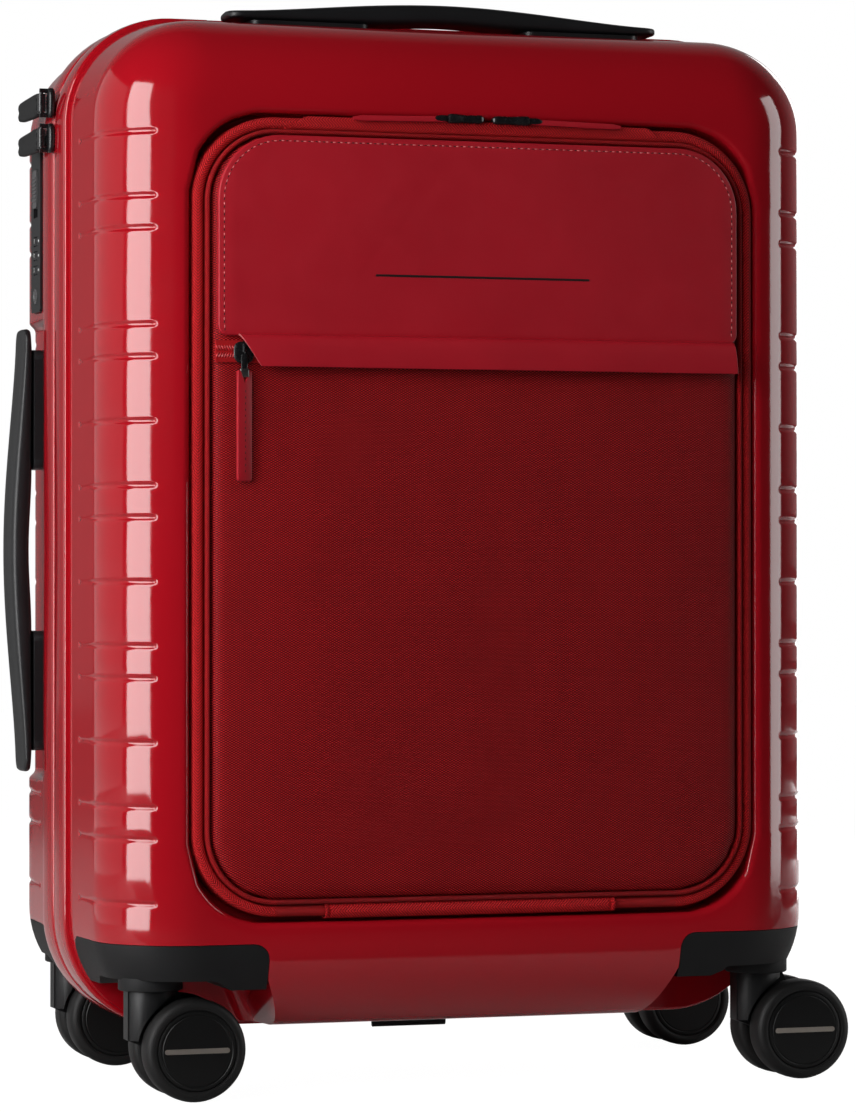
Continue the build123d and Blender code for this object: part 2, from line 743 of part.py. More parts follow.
lock_case = block(LOCK_FACE, LOCK_BACK, LOCK_NEAR, LOCK_FAR, LOCK_LOW, LOCK_HIGH)
lock_case = fillet(lock_case.edges().filter_by(Axis.X), LOCK_ROUND)
dial_levels = [DIAL_FIRST + DIAL_PITCH * n for n in range(DIALS)]
for z in dial_levels:
    lock_case -= upright(DIAL_X, LOCK_MID, DIAL_SLOT_R, z - DIAL_SLOT_THICK / 2, z + DIAL_SLOT_THICK / 2)
lock_case += upright(
    DIAL_X, LOCK_MID, DIAL_SPINDLE_R, dial_levels[0] - DIAL_PITCH, dial_levels[-1] + DIAL_PITCH
)
slot_half = RELEASE_HALF + FIT_GAP
lock_case -= block(
    LOCK_FACE - SKIN, RELEASE_SEAT + FIT_GAP, LOCK_MID - slot_half, LOCK_MID + slot_half,
    RELEASE_LOW - RELEASE_TRAVEL - FIT_GAP, RELEASE_HIGH + FIT_GAP,
)
store("lock_case", lock_case)
for n, z in enumerate(dial_levels):
    dial = upright(DIAL_X, LOCK_MID, DIAL_R, z - DIAL_THICK / 2, z + DIAL_THICK / 2)
    dial -= upright(DIAL_X, LOCK_MID, DIAL_SPINDLE_R + DIAL_SPINDLE_GAP, z - DIAL_THICK, z + DIAL_THICK)
    store(f"lock_dial_{n + 1}", dial)
lock_release = block(
    RELEASE_FACE, RELEASE_SEAT, LOCK_MID - RELEASE_HALF, LOCK_MID + RELEASE_HALF, RELEASE_LOW, RELEASE_HIGH
)
store("lock_release", lock_release)

# Main zip sliders on the rear tape, and their pulls docked over the lock

main_sliders = []
for name, z in zip(("lower", "upper"), MAIN_SLIDER_Z):
    low = z - MAIN_SLIDER_HALF_Z
    high = z + MAIN_SLIDER_HALF_Z
    slider = block(
        MAIN_SLIDER_OUTER, MAIN_SLIDER_INNER, -MAIN_SLIDER_HALF_Y, MAIN_SLIDER_HALF_Y, low, high,
    )
    slider = fillet(slider.edges().filter_by(Axis.X), WALL / 2)
    for lug_low in (z - MAIN_EYE_HALF - FIT_GAP - MAIN_LUG_THICK, z + MAIN_EYE_HALF + FIT_GAP):
        slider += block(
            MAIN_PIN_X - MAIN_EYE_R, MAIN_SLIDER_OUTER, MAIN_PIN_Y - MAIN_EYE_R,
            MAIN_PIN_Y + MAIN_EYE_R, lug_low, lug_low + MAIN_LUG_THICK,
        )
    slider -= upright(MAIN_PIN_X, MAIN_PIN_Y, MAIN_EYE_R + FIT_GAP, z - MAIN_EYE_HALF - FIT_GAP,
                      z + MAIN_EYE_HALF + FIT_GAP)
    slider += upright(MAIN_PIN_X, MAIN_PIN_Y, MAIN_PIN_R, low, high)
    main_sliders.append(slider)
    pull = upright(MAIN_PIN_X, MAIN_PIN_Y, MAIN_EYE_R, z - MAIN_EYE_HALF, z + MAIN_EYE_HALF)
    pull += block(
        MAIN_PIN_X - MAIN_PIN_R, MAIN_PIN_X + MAIN_PIN_R, MAIN_PIN_Y, 4 * MAIN_EYE_R,
        z - MAIN_EYE_HALF, z + MAIN_EYE_HALF,
    )
    pull -= upright(MAIN_PIN_X, MAIN_PIN_Y, MAIN_PIN_R + MAIN_PIN_GAP, z - FAR, z + FAR)
    grip = block(
        MAIN_PULL_OUTER, MAIN_PULL_INNER, 3 * MAIN_EYE_R, MAIN_PULL_TIP,
        z - MAIN_PULL_HALF_Z, z + MAIN_PULL_HALF_Z,
    )
    grip = fillet(grip.edges().filter_by(Axis.X), WALL)
    store(f"main_pull_{name}", pull + grip)
store("main_sliders", main_sliders[0] + main_sliders[1])

# Feet on the right side, on both shells

def side_feet(depth):
    """Pair of feet on the side of a front half shell."""
    outer = RIM_HALF + FOOT_PROUD
    feet = []
    for z in FOOT_LEVELS:
        foot = block(
            RIM_HALF - EDGE_ROUND, outer, -FOOT_Y - FOOT_HALF_Y, FOOT_HALF_Y - FOOT_Y,
            z - FOOT_HALF_Z, z + FOOT_HALF_Z,
        )
        foot -= bowl(0, depth)
        foot = foot.solids().sort_by(Axis.X)[-1]
        feet.append(fillet(foot.faces().sort_by(Axis.X)[-1].edges(), FOOT_ROUND))
    return group(feet)


store("front_feet", side_feet(FRONT_DEPTH))
store("rear_feet", rear_of(side_feet(REAR_DEPTH)))

# Telescopic trolley

rear_body = rear_of(bowl(0, REAR_DEPTH))
bezel = rear_body & (notch(-BEZEL_GAP) - notch(-BEZEL_GAP - BEZEL_WALL))
bezel -= tube_space(1, FIT_GAP, NOTCH_FLOOR - WALL, GRIP_LOW)
store("trolley_bezel", bezel)

store("trolley_outer_tubes", tube(0, OUTER_TUBE_LOW, OUTER_TUBE_TOP))
store("trolley_middle_tubes", tube(1, OUTER_TUBE_LOW + STAGE_STEP, OUTER_TUBE_TOP + STAGE_STEP))
inner_top = GRIP_LOW + SOCKET_DEEP - FIT_GAP
store("trolley_inner_tubes", tube(2, OUTER_TUBE_LOW + 2 * STAGE_STEP, inner_top))

grip_body = rear_of(bowl(GRIP_INSET, REAR_DEPTH))
grip_space = block(-GRIP_HALF, GRIP_HALF, GRIP_NEAR, FAR, GRIP_LOW, 2 * FAR)
grip_body &= fillet(grip_space.edges().filter_by(Axis.Z), NOTCH_ROUND)
grip_body -= block(-GRIP_ARCH_HALF, GRIP_ARCH_HALF, 0, FAR, 0, GRIP_ARCH_TOP)
grip_body -= tube_space(2, RUNNING_GAP, GRIP_LOW - 1, GRIP_LOW + SOCKET_DEEP)
half_deep = BUTTON_DEEP / 2
hole_half = BUTTON_HALF + FIT_GAP
hole_deep = half_deep + FIT_GAP
grip_body -= block(
    -hole_half, hole_half, BUTTON_Y - hole_deep, BUTTON_Y + hole_deep, BUTTON_LOW + FIT_GAP, 2 * FAR
)
store("trolley_grip", grip_body)

button_rest = BUTTON_LOW + BUTTON_TRAVEL + 2 * FIT_GAP
button = block(
    -BUTTON_HALF, BUTTON_HALF, BUTTON_Y - half_deep, BUTTON_Y + half_deep, button_rest, 2 * FAR
)
button &= rear_of(bowl(GRIP_INSET - FIT_GAP, REAR_DEPTH))
store("trolley_button", button)

strap_back = TUBE_Y + TUBE_DEEP / 2 + FIT_GAP
bracket = block(
    TUBE_X - TUBE_WIDE / 2, TUBE_X + TUBE_WIDE / 2, strap_back, strap_back + FOOT_BRACKET_STRAP,
    FOOT_BRACKET_LOW, FOOT_BRACKET_HIGH,
)
bracket += block(
    TUBE_X - TUBE_WIDE / 2, TUBE_X + TUBE_WIDE / 2, TUBE_Y - TUBE_DEEP / 2, strap_back,
    FOOT_BRACKET_LOW, OUTER_TUBE_LOW,
)
bracket += block(
    TUBE_X - TUBE_WIDE / 2, TUBE_X + TUBE_WIDE / 2, strap_back, REAR_DEPTH - WALL,
    FOOT_PAD_LOW, FOOT_PAD_HIGH,
)
store("trolley_brackets", bracket + left_of(bracket))

# Cover board over the tubes, and two packing straps with buckles on it

cover_back = REAR_DEPTH - WALL - FIT_GAP
cover = rear_of(slab(COVER_HALF, COVER_LOW, COVER_HIGH, COVER_ROUND, COVER_NEAR, cover_back))
cover -= rear_of(slab(
    COVER_HALF - COVER_WALL, COVER_LOW - COVER_HIGH, COVER_HIGH - COVER_WALL, COVER_ROUND - COVER_WALL,
    COVER_NEAR + COVER_WALL, REAR_DEPTH,
))
cover -= tube_space(0, FIT_GAP, COVER_HIGH - 2 * COVER_WALL, COVER_HIGH + COVER_WALL)
store("tube_cover", cover)

straps = []
strap_face = COVER_NEAR - STRAP_GAP
for z in STRAP_LEVELS:
    for side in (-1, 1):
        near = side * BUCKLE_LONG / 2
        far = side * (COVER_HALF - COVER_ROUND)
        straps.append(block(
            min(near, far), max(near, far), strap_face - STRAP_THICK, strap_face,
            z - STRAP_WIDE / 2, z + STRAP_WIDE / 2,
        ))
    buckle = block(
        -BUCKLE_LONG / 2, BUCKLE_LONG / 2, strap_face - BUCKLE_THICK, strap_face,
        z - BUCKLE_HIGH / 2, z + BUCKLE_HIGH / 2,
    )
    straps.append(fillet(buckle.edges().filter_by(Axis.Y), WALL))
store("packing_straps", group(straps))
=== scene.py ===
import math

import bmesh
import bpy
from mathutils import Matrix, Vector
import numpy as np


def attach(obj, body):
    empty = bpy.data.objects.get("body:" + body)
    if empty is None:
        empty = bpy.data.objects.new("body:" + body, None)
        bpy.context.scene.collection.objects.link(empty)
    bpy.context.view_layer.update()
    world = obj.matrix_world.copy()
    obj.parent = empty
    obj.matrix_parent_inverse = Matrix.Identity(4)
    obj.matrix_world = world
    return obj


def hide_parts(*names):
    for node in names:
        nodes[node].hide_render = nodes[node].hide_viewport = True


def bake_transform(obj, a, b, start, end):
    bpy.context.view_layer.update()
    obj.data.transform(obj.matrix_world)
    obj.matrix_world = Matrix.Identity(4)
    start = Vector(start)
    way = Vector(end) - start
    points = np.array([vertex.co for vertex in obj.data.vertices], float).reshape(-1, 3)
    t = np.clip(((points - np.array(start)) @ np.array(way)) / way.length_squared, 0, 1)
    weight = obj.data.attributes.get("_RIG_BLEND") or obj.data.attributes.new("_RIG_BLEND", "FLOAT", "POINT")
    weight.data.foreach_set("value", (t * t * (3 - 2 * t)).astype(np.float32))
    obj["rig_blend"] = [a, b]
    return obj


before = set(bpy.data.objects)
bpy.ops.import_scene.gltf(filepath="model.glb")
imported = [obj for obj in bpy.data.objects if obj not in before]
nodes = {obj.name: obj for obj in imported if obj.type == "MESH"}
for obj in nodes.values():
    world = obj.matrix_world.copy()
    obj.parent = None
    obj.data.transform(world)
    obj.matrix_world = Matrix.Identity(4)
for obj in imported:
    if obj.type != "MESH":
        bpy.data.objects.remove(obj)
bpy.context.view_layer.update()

# Shell finish
# Both half shells are one thin sheet of polycarbonate, coloured through and thermoformed, with a high gloss
# film on the outside. Inside, the same sheet carries a glued fabric lining.

MM = 0.001


class Wire:
    """One value in a material's node tree: sums and products add Math nodes to the tree."""

    def __init__(self, tree, socket=None):
        self.tree = tree
        self.socket = socket

    def add(self, kind, settings=None, inputs=None, out=0):
        node = self.tree.nodes.new(kind)
        for name, value in (settings or {}).items():
            if name == "stops":
                while len(node.color_ramp.elements) < len(value):
                    node.color_ramp.elements.new(0.5)
                for stop, (place, colour) in zip(node.color_ramp.elements, value):
                    stop.position = place
                    stop.color = colour
            else:
                setattr(node, name, value)
        for name, value in (inputs or {}).items():
            if isinstance(value, Wire):
                self.tree.links.new(value.socket, node.inputs[name])
            else:
                node.inputs[name].default_value = value
        return Wire(self.tree, node.outputs[out])

    def maths(self, operation, first, second=0.0):
        return self.add("ShaderNodeMath", {"operation": operation}, {0: first, 1: second})

    def __add__(self, other):
        return self.maths("ADD", self, other)

    __radd__ = __add__

    def __sub__(self, other):
        return self.maths("SUBTRACT", self, other)

    def __rsub__(self, other):
        return self.maths("SUBTRACT", other, self)

    def __mul__(self, other):
        return self.maths("MULTIPLY", self, other)

    __rmul__ = __mul__

    def __pow__(self, other):
        return self.maths("POWER", self, other)

    def __truediv__(self, other):
        return self.maths("DIVIDE", self, other)


def srgb(red, green, blue):
    """Linear colour of a screen colour given in 0 to 255."""
    def line(value):
        share = value / 255
        return share / 12.92 if share < 0.04045 else ((share + 0.055) / 1.055) ** 2.4
    return (line(red), line(green), line(blue), 1.0)


def finish(name, **constants):
    """New material: its shader takes the constants, and the wire returned starts its node expressions."""
    material = bpy.data.materials.new(name)
    material.use_nodes = True
    tree = material.node_tree
    shader = tree.nodes["Principled BSDF"]
    for socket, value in constants.items():
        shader.inputs[socket.replace("_", " ")].default_value = value
    return material, shader, Wire(tree)


def feed(shader, socket, wire):
    wire.tree.links.new(wire.socket, shader.inputs[socket])


def place_of(start):
    """Object coordinates in metres."""
    return start.add("ShaderNodeTexCoord", out="Object")


def noise(start, place, scale, detail=2.0):
    return start.add("ShaderNodeTexNoise", None, {"Vector": place, "Scale": scale, "Detail": detail})


def two_tone(start, share, dark, light):
    """Colour that goes from dark to light with share."""
    return start.add("ShaderNodeMix", {"data_type": "RGBA"}, {"Factor": share, 6: dark, 7: light}, out=2)


def bump(start, height, strength, deep):
    return start.add("ShaderNodeBump", None, {"Height": height, "Strength": strength, "Distance": deep})


shell_gloss, shader, start = finish("shell_gloss", IOR=1.5)
place = place_of(start)
drift = noise(start, place, 5.0)
feed(shader, "Base Color", two_tone(start, drift, srgb(158, 13, 25), srgb(170, 15, 29)))
handling = noise(start, place, 60.0, 4.0)
feed(shader, "Roughness", 0.05 + 0.07 * handling)
feed(shader, "Normal", bump(start, noise(start, place, 420.0), 0.05, 0.2 * MM))

lining_cloth, shader, start = finish("lining_cloth", Roughness=0.85)
place = place_of(start)
thread = start.add("ShaderNodeTexWave", {"bands_direction": "DIAGONAL"}, {"Vector": place, "Scale": 260.0})
blotch = noise(start, place, 18.0, 3.0)
feed(shader, "Base Color", two_tone(start, thread * 0.5 + blotch * 0.5, srgb(34, 33, 36), srgb(58, 57, 60)))
feed(shader, "Normal", bump(start, thread, 0.25, 0.3 * MM))

# Half shells
# Each shell is a deep bowl drawn over a mould: a proud lip beside the zip, sides with a little draft, then a
# large round edge with short embossed lines across its upright sides. Recesses take the handles and wheels.

RIM_HALF = 190 * MM
RIM_LOW = 31 * MM
RIM_HIGH = 541 * MM
RIM_CORNER = 54 * MM
RIM_BACK = 6 * MM
LIP_START = 1.2 * MM
LIP_END = 25 * MM
LIP_PROUD = 1.5 * MM
LIP_CROWN = 0.5 * MM
LIP_ROUND = 1.4 * MM
DRAFT = math.radians(2.5)
TOP_DRAFT = math.radians(6.3)
EDGE_ROUND = 44 * MM
FRONT_DEPTH = 112 * MM
REAR_DEPTH = 116 * MM
WALL = 2.5 * MM
GROOVE_FIRST = 98 * MM
GROOVE_PITCH = 15.75 * MM
GROOVE_LEVELS = (0, 2, 3, 5, 7, 8, 10, 12, 13, 15, 17, 18, 21, 22, 24)
GROOVE_SPREAD = [offset * MM for offset in (-2.4, -1.6, -1.0, -0.5, 0, 0.5, 1.0, 1.6, 2.4)]
GROOVE_SIDE_END = 43 * MM
GROOVE_INSET_END = 26 * MM
CORNER_STEPS = 18
LIP_STEPS = 4
CROWN_STEPS = 8
SIDE_STEPS = (0, 0.7, 2, 4, 8, 12, 15, 17, 17.6, 18.2, 19, 20, 21.5, 24, 30, 36, 38, 39, 39.8, 40.6, 41.4,
              42.2, 43)
EDGE_TILTS = (2.5, 6, 10, 14, 18, 22, 26, 30, 34, 38, 42, 46, 50, 54, 57, 59, 60, 61, 62, 63, 65, 68)
REAR_TILTS = (71, 74, 78, 82, 86, 90)
CLOSE = 1e-6
groove_heights = [GROOVE_FIRST + GROOVE_PITCH * level for level in GROOVE_LEVELS]


def ease(low, high, value):
    """Smooth step from 0 at low to 1 at high."""
    share = min(1.0, max(0.0, (value - low) / (high - low)))
    return share * share * (3 - 2 * share)


def sliced(mesh, columns, levels):
    """Splits a mesh at places across and at heights."""
    cuts = [((0, 0, level), (0, 0, 1)) for level in levels]
    cuts += [((column, 0, 0), (1, 0, 0)) for column in columns]
    for middle, normal in cuts:
        geometry = mesh.verts[:] + mesh.edges[:] + mesh.faces[:]
        bmesh.ops.bisect_plane(mesh, geom=geometry, dist=CLOSE, plane_co=middle, plane_no=normal)


def rounded_loop(half, low, high, corner, steps, levels=(), columns=()):
    """Edge loop of a rounded rectangle seen from the front, split at the given heights and places across."""
    mesh = bmesh.new()
    corners = [(-half, 0, low), (half, 0, low), (half, 0, high), (-half, 0, high)]
    points = [mesh.verts.new(point) for point in corners]
    mesh.faces.new(points)
    bmesh.ops.bevel(mesh, geom=points, offset=corner, offset_type="OFFSET", segments=steps, profile=0.5,
                    affect="VERTICES", material=-1)
    bmesh.ops.delete(mesh, geom=mesh.faces[:], context="FACES_ONLY")
    sliced(mesh, columns, levels)
    return mesh


def outward(point, half, low, high, corner):
    """Nearest core point of a rounded rectangle, and the direction out of it through the given point."""
    core_x = min(max(point.x, corner - half), half - corner)
    core_z = min(max(point.z, low + corner), high - corner)
    core = Vector((core_x, 0, core_z))
    return core, (Vector((point.x, 0, point.z)) - core).normalized()


def round_edge(depth, draft):
    """Depth where a shell's round edge starts and inset of the edge's centre, for a side with some draft."""
    start = depth - EDGE_ROUND * (1 - math.sin(draft))
    foot = (LIP_END - RIM_BACK) * math.tan(DRAFT)
    return start, foot + (start - LIP_END) * math.tan(draft) + EDGE_ROUND * math.cos(draft)


def top_draft(normal):
    """Draft of the front half, which falls away from its lip more steeply along the top than at the sides."""
    return DRAFT + max(0.0, normal.z) ** 2 * (TOP_DRAFT - DRAFT)


def steeper(y, tilt, draft):
    """Row of the front half, moved to where it lies with a steeper draft."""
    plain_start = round_edge(FRONT_DEPTH, DRAFT)[0]
    start, middle = round_edge(FRONT_DEPTH, draft)
    if y < plain_start + CLOSE:
        y = LIP_END + (y - LIP_END) * (start - LIP_END) / (plain_start - LIP_END)
        return middle - EDGE_ROUND * math.cos(draft) - (start - y) * math.tan(draft), y, draft
    tilt = draft + (tilt - DRAFT) * (math.pi / 2 - draft) / (math.pi / 2 - DRAFT)
    return middle - EDGE_ROUND * math.cos(tilt), FRONT_DEPTH - EDGE_ROUND * (1 - math.sin(tilt)), tilt


def edge_rows(depth):
    """Rows of the shell from its rim to the far side of the round edge, as inset, depth and tilt."""
    rows = []
    quarter = [math.radians(90 * step / LIP_STEPS) for step in range(LIP_STEPS + 1)]
    for turn in quarter:
        rows.append((LIP_ROUND * (1 - math.sin(turn)) - LIP_PROUD,
                     LIP_START + LIP_ROUND * (1 - math.cos(turn)), 0.0))
    half_lip = (LIP_END - LIP_START) / 2 - LIP_ROUND
    for step in range(1, CROWN_STEPS):
        across = 2 * step / CROWN_STEPS - 1
        rows.append((-LIP_PROUD - LIP_CROWN * (1 - across * across),
                     LIP_START + LIP_ROUND + half_lip * (1 + across), 0.0))
    for turn in quarter:
        rows.append((LIP_ROUND * (1 - math.cos(turn)) - LIP_PROUD,
                     LIP_END - LIP_ROUND * (1 - math.sin(turn)), 0.0))
    arc_start, arc_inset = round_edge(depth, DRAFT)
    side_ys = [LIP_END + offset * MM for offset in SIDE_STEPS]
    rows += [((y - RIM_BACK) * math.tan(DRAFT), y, DRAFT) for y in side_ys if y < arc_start - MM]
    tilts = EDGE_TILTS
    if depth > FRONT_DEPTH:
        tilts += REAR_TILTS
    for tilt in tilts:
        turn = math.radians(tilt)
        inset = arc_inset - EDGE_ROUND * math.cos(turn)
        rows.append((inset, depth - EDGE_ROUND * (1 - math.sin(turn)), turn))
    return rows


def groove_sink(height, inset, y):
    """How far an embossed line presses the shell in at a height: thin on the side, wider round the edge."""
    away = min(abs(height - level) for level in groove_heights)
    if y < GROOVE_SIDE_END or inset > GROOVE_INSET_END:
        return 0.0
    on_edge = ease(58 * MM, 78 * MM, y)
    mark = 1 - ease(GROOVE_SIDE_END + 0.6 * MM, GROOVE_SIDE_END + 4 * MM, y)
    dot = ease(GROOVE_INSET_END - 3.5 * MM, GROOVE_INSET_END - 1 * MM, inset)
    reach = (0.9 + 1.3 * on_edge + 0.9 * mark - 0.5 * dot) * MM
    sink = (0.22 + 0.75 * on_edge + 0.4 * mark) * MM
    fade = ease(GROOVE_SIDE_END, GROOVE_SIDE_END + 0.8 * MM, y) * (
        1 - ease(GROOVE_INSET_END - 1.2 * MM, GROOVE_INSET_END, inset))
    return sink * fade * (1 - ease(0, reach, away))


RECESS_HALF = 118 * MM
RECESS_NEAR = 24 * MM
RECESS_FAR = 68 * MM
RECESS_ROUND = 6 * MM
RECESS_SLOPE = 2.2 * MM
RECESS_SPREAD = (-3.2, -2.2, -1.4, -0.7, 0, 0.7, 1.4, 2.2, 3.2)
TOP_FLOOR = 526 * MM
SIDE_FLOOR = 181 * MM
SIDE_HANDLE_HEIGHT = 272 * MM
SOFT_FLOOR = 2.0 * MM
FAR = 300 * MM


def recess_share(along, y, far):
    """1 inside a handle recess that reaches from the lip to far, 0 outside it, with a sloped wall between."""
    over_x = abs(along) - (RECESS_HALF - RECESS_ROUND)
    over_y = max(RECESS_NEAR + RECESS_ROUND - y, y - far + RECESS_ROUND)
    outside = math.hypot(max(over_x, 0), max(over_y, 0)) + min(max(over_x, over_y), 0) - RECESS_ROUND
    return 1 - ease(-RECESS_SLOPE, RECESS_SLOPE, outside)


def pressed(above):
    """Soft version of max(above, 0), so a recess floor meets the shell in a rounded line."""
    return (above + math.hypot(above, SOFT_FLOOR)) / 2


POCKET_HALF = 148 * MM
POCKET_LOW = 88 * MM
POCKET_HIGH = 486 * MM
POCKET_CORNER = 38 * MM
POCKET_ROLL = 3.5 * MM
LEDGE = 12 * MM
LEDGE_DEPTH = 92 * MM
LEDGE_ROUND = 0.8 * MM
FACE_STEPS = 8
ROLL_STEPS = 8
SPARE = 2


def next_ring(mesh, ring):
    """Grows a wall from an edge ring and returns the new ring."""
    grown = bmesh.ops.extrude_edge_only(mesh, edges=ring)["geom"]
    return [item for item in grown if isinstance(item, bmesh.types.BMEdge)]


def verts_of(ring):
    return {vert for edge in ring for vert in edge.verts}


def half_shell(depth, facing):
    """Outer skin of one half as a closed mesh. The lid over its rim and the plug of its face are spare."""
    front = facing < 0
    levels = [height + offset for height in groove_heights for offset in GROOVE_SPREAD]
    columns = [offset * MM for offset in range(-100, 101, 20)]
    recess_ends = [side * (RECESS_HALF + offset * MM) for side in (-1, 1) for offset in RECESS_SPREAD]
    if front:
        columns += recess_ends
    else:
        levels += [SIDE_HANDLE_HEIGHT + end for end in recess_ends]
    mesh = rounded_loop(RIM_HALF, RIM_LOW, RIM_HIGH, RIM_CORNER, CORNER_STEPS, levels, columns)
    rim = mesh.verts.layers.float_vector.new("rim")
    out = mesh.verts.layers.float_vector.new("out")
    for vert in mesh.verts:
        core, normal = outward(vert.co, RIM_HALF, RIM_LOW, RIM_HIGH, RIM_CORNER)
        vert[rim] = core + normal * RIM_CORNER
        vert[out] = normal
    rows = edge_rows(depth)

    def surface(base, normal, inset, y, tilt):
        if front and normal.z > 0 and tilt:
            inset, y, tilt = steeper(y, tilt, top_draft(normal))
        if abs(normal.x) > 0.999:
            sink = groove_sink(base.z, inset, y)
            inset += sink * math.cos(tilt)
            y -= sink * math.sin(tilt)
        spot = base - normal * inset
        spot.y = facing * y
        if front and spot.z > TOP_FLOOR - 10 * MM:
            spot.z -= recess_share(spot.x, y, RECESS_FAR) * pressed(spot.z - TOP_FLOOR)
        if not front and spot.x < -SIDE_FLOOR + 10 * MM:
            spot.x += recess_share(spot.z - SIDE_HANDLE_HEIGHT, y, FAR) * pressed(-spot.x - SIDE_FLOOR)
        return spot

    ring = mesh.edges[:]
    for vert in verts_of(ring):
        vert.co = surface(vert[rim], vert[out], *rows[0])
    lid = bmesh.ops.edgeloop_fill(mesh, edges=ring)["faces"]
    for row in rows[1:]:
        ring = next_ring(mesh, ring)
        for vert in verts_of(ring):
            vert.co = surface(vert[rim], vert[out], *row)
    if front:
        def face_depth(spot):
            core, normal = outward(spot, RIM_HALF, RIM_LOW, RIM_HIGH, RIM_CORNER)
            inset = RIM_CORNER - (Vector((spot.x, 0, spot.z)) - core).length
            short = max(0.0, round_edge(depth, top_draft(normal))[1] - inset)
            rise = math.sqrt(max(0.0, EDGE_ROUND ** 2 - short ** 2))
            return depth - EDGE_ROUND + rise, short / max(rise, MM)

        goal = mesh.verts.layers.float_vector.new("goal")
        for vert in verts_of(ring):
            core, normal = outward(vert.co, POCKET_HALF, POCKET_LOW, POCKET_HIGH, POCKET_CORNER)
            vert[rim] = core + normal * POCKET_CORNER
            vert[out] = normal
            vert[goal] = vert.co
        for step in range(1, FACE_STEPS + ROLL_STEPS + 1):
            ring = next_ring(mesh, ring)
            for vert in verts_of(ring):
                wall, normal = vert[rim], vert[out]
                swing = 0.0
                for _ in range(4):
                    lip_start = wall + normal * POCKET_ROLL * (1 + math.sin(swing))
                    lip_depth, slope = face_depth(lip_start)
                    swing = math.atan(slope)
                if step <= FACE_STEPS:
                    spot = vert[goal].lerp(lip_start, step / FACE_STEPS)
                    spot.y = facing * face_depth(spot)[0]
                else:
                    turn = swing - (swing + math.pi / 2) * (step - FACE_STEPS) / ROLL_STEPS
                    spot = wall + normal * POCKET_ROLL * (1 + math.sin(turn))
                    spot.y = facing * (lip_depth + POCKET_ROLL * (math.cos(turn) - math.cos(swing)))
                vert.co = spot
        ledge_rows = ((0, LEDGE_DEPTH + LEDGE_ROUND), (LEDGE_ROUND, LEDGE_DEPTH), (LEDGE, LEDGE_DEPTH))
        for inset, y in ledge_rows:
            ring = next_ring(mesh, ring)
            for vert in verts_of(ring):
                spot = vert[rim] - vert[out] * inset
                spot.y = facing * y
                vert.co = spot
        plug = bmesh.ops.edgeloop_fill(mesh, edges=ring)["faces"]
        for face in plug:
            face.material_index = SPARE
    else:
        ring = next_ring(mesh, ring)
        for vert in verts_of(ring):
            inset, y, tilt = rows[-1]
            vert.co = surface(vert[rim], vert[out], inset + 2 * MM, y, tilt)
        bmesh.ops.edgeloop_fill(mesh, edges=ring)
    for face in lid:
        face.material_index = SPARE
    bmesh.ops.recalc_face_normals(mesh, faces=mesh.faces[:])
    return mesh


def solid_piece(name, mesh):
    """New object that holds the finished mesh."""
    data = bpy.data.meshes.new(name)
    mesh.to_mesh(data)
    mesh.free()
    piece = bpy.data.objects.new(name, data)
    bpy.context.scene.collection.objects.link(piece)
    return piece


def boxed(low, high):
    """Closed box between two corners."""
    mesh = bmesh.new()
    bmesh.ops.create_cube(mesh, size=1.0)
    low, high = Vector(low), Vector(high)
    bmesh.ops.scale(mesh, vec=high - low, verts=mesh.verts[:])
    bmesh.ops.translate(mesh, vec=(low + high) / 2, verts=mesh.verts[:])
    return mesh


def rounded(mesh, edges, radius, steps=4):
    """Rounds the given edges of a mesh."""
    bmesh.ops.bevel(mesh, geom=edges, offset=radius, offset_type="OFFSET", segments=steps, profile=0.5,
                    affect="EDGES", material=-1, clamp_overlap=True)
    return mesh


def edges_along(mesh, axis):
    """Edges of a mesh that run along axis 0, 1 or 2."""
    found = []
    for edge in mesh.edges:
        run = edge.verts[1].co - edge.verts[0].co
        if abs(run[axis]) > 0.999 * run.length:
            found.append(edge)
    return found


def made_solid(piece):
    """Takes the result of a piece's modifiers as its mesh."""
    graph = bpy.context.evaluated_depsgraph_get()
    data = bpy.data.meshes.new_from_object(piece.evaluated_get(graph))
    piece.modifiers.clear()
    piece.data = data


def cut(piece, cutters, operation="DIFFERENCE"):
    """Takes the cutters' meshes out of a closed piece, or keeps what it shares with them."""
    tools = [solid_piece(f"cutter_{number}", mesh) for number, mesh in enumerate(cutters)]
    for tool in tools:
        modifier = piece.modifiers.new(tool.name, "BOOLEAN")
        modifier.operation = operation
        modifier.solver = "EXACT"
        modifier.object = tool
    made_solid(piece)
    for tool in tools:
        bpy.data.objects.remove(tool)


def smooth(piece, angle):
    """Smooth shading with sharp edges past an angle in degrees."""
    piece.data.shade_smooth()
    piece.data.set_sharp_from_angle(angle=math.radians(angle))


def drawn_out(mesh, faces, far):
    """Makes flat faces into a solid that reaches far along Y."""
    grown = bmesh.ops.extrude_face_region(mesh, geom=faces, use_keep_orig=True)["geom"]
    moved = [item for item in grown if isinstance(item, bmesh.types.BMVert)]
    bmesh.ops.translate(mesh, vec=(0, far, 0), verts=moved)
    bmesh.ops.recalc_face_normals(mesh, faces=mesh.faces[:])


WELL_WALL = 108 * MM
WELL_WALL_LOW = 82.6 * MM
WELL_KNEE = 60 * MM
WELL_REACH = 32 * MM
WELL_TOP = 78 * MM
WELL_ROUND = 8 * MM


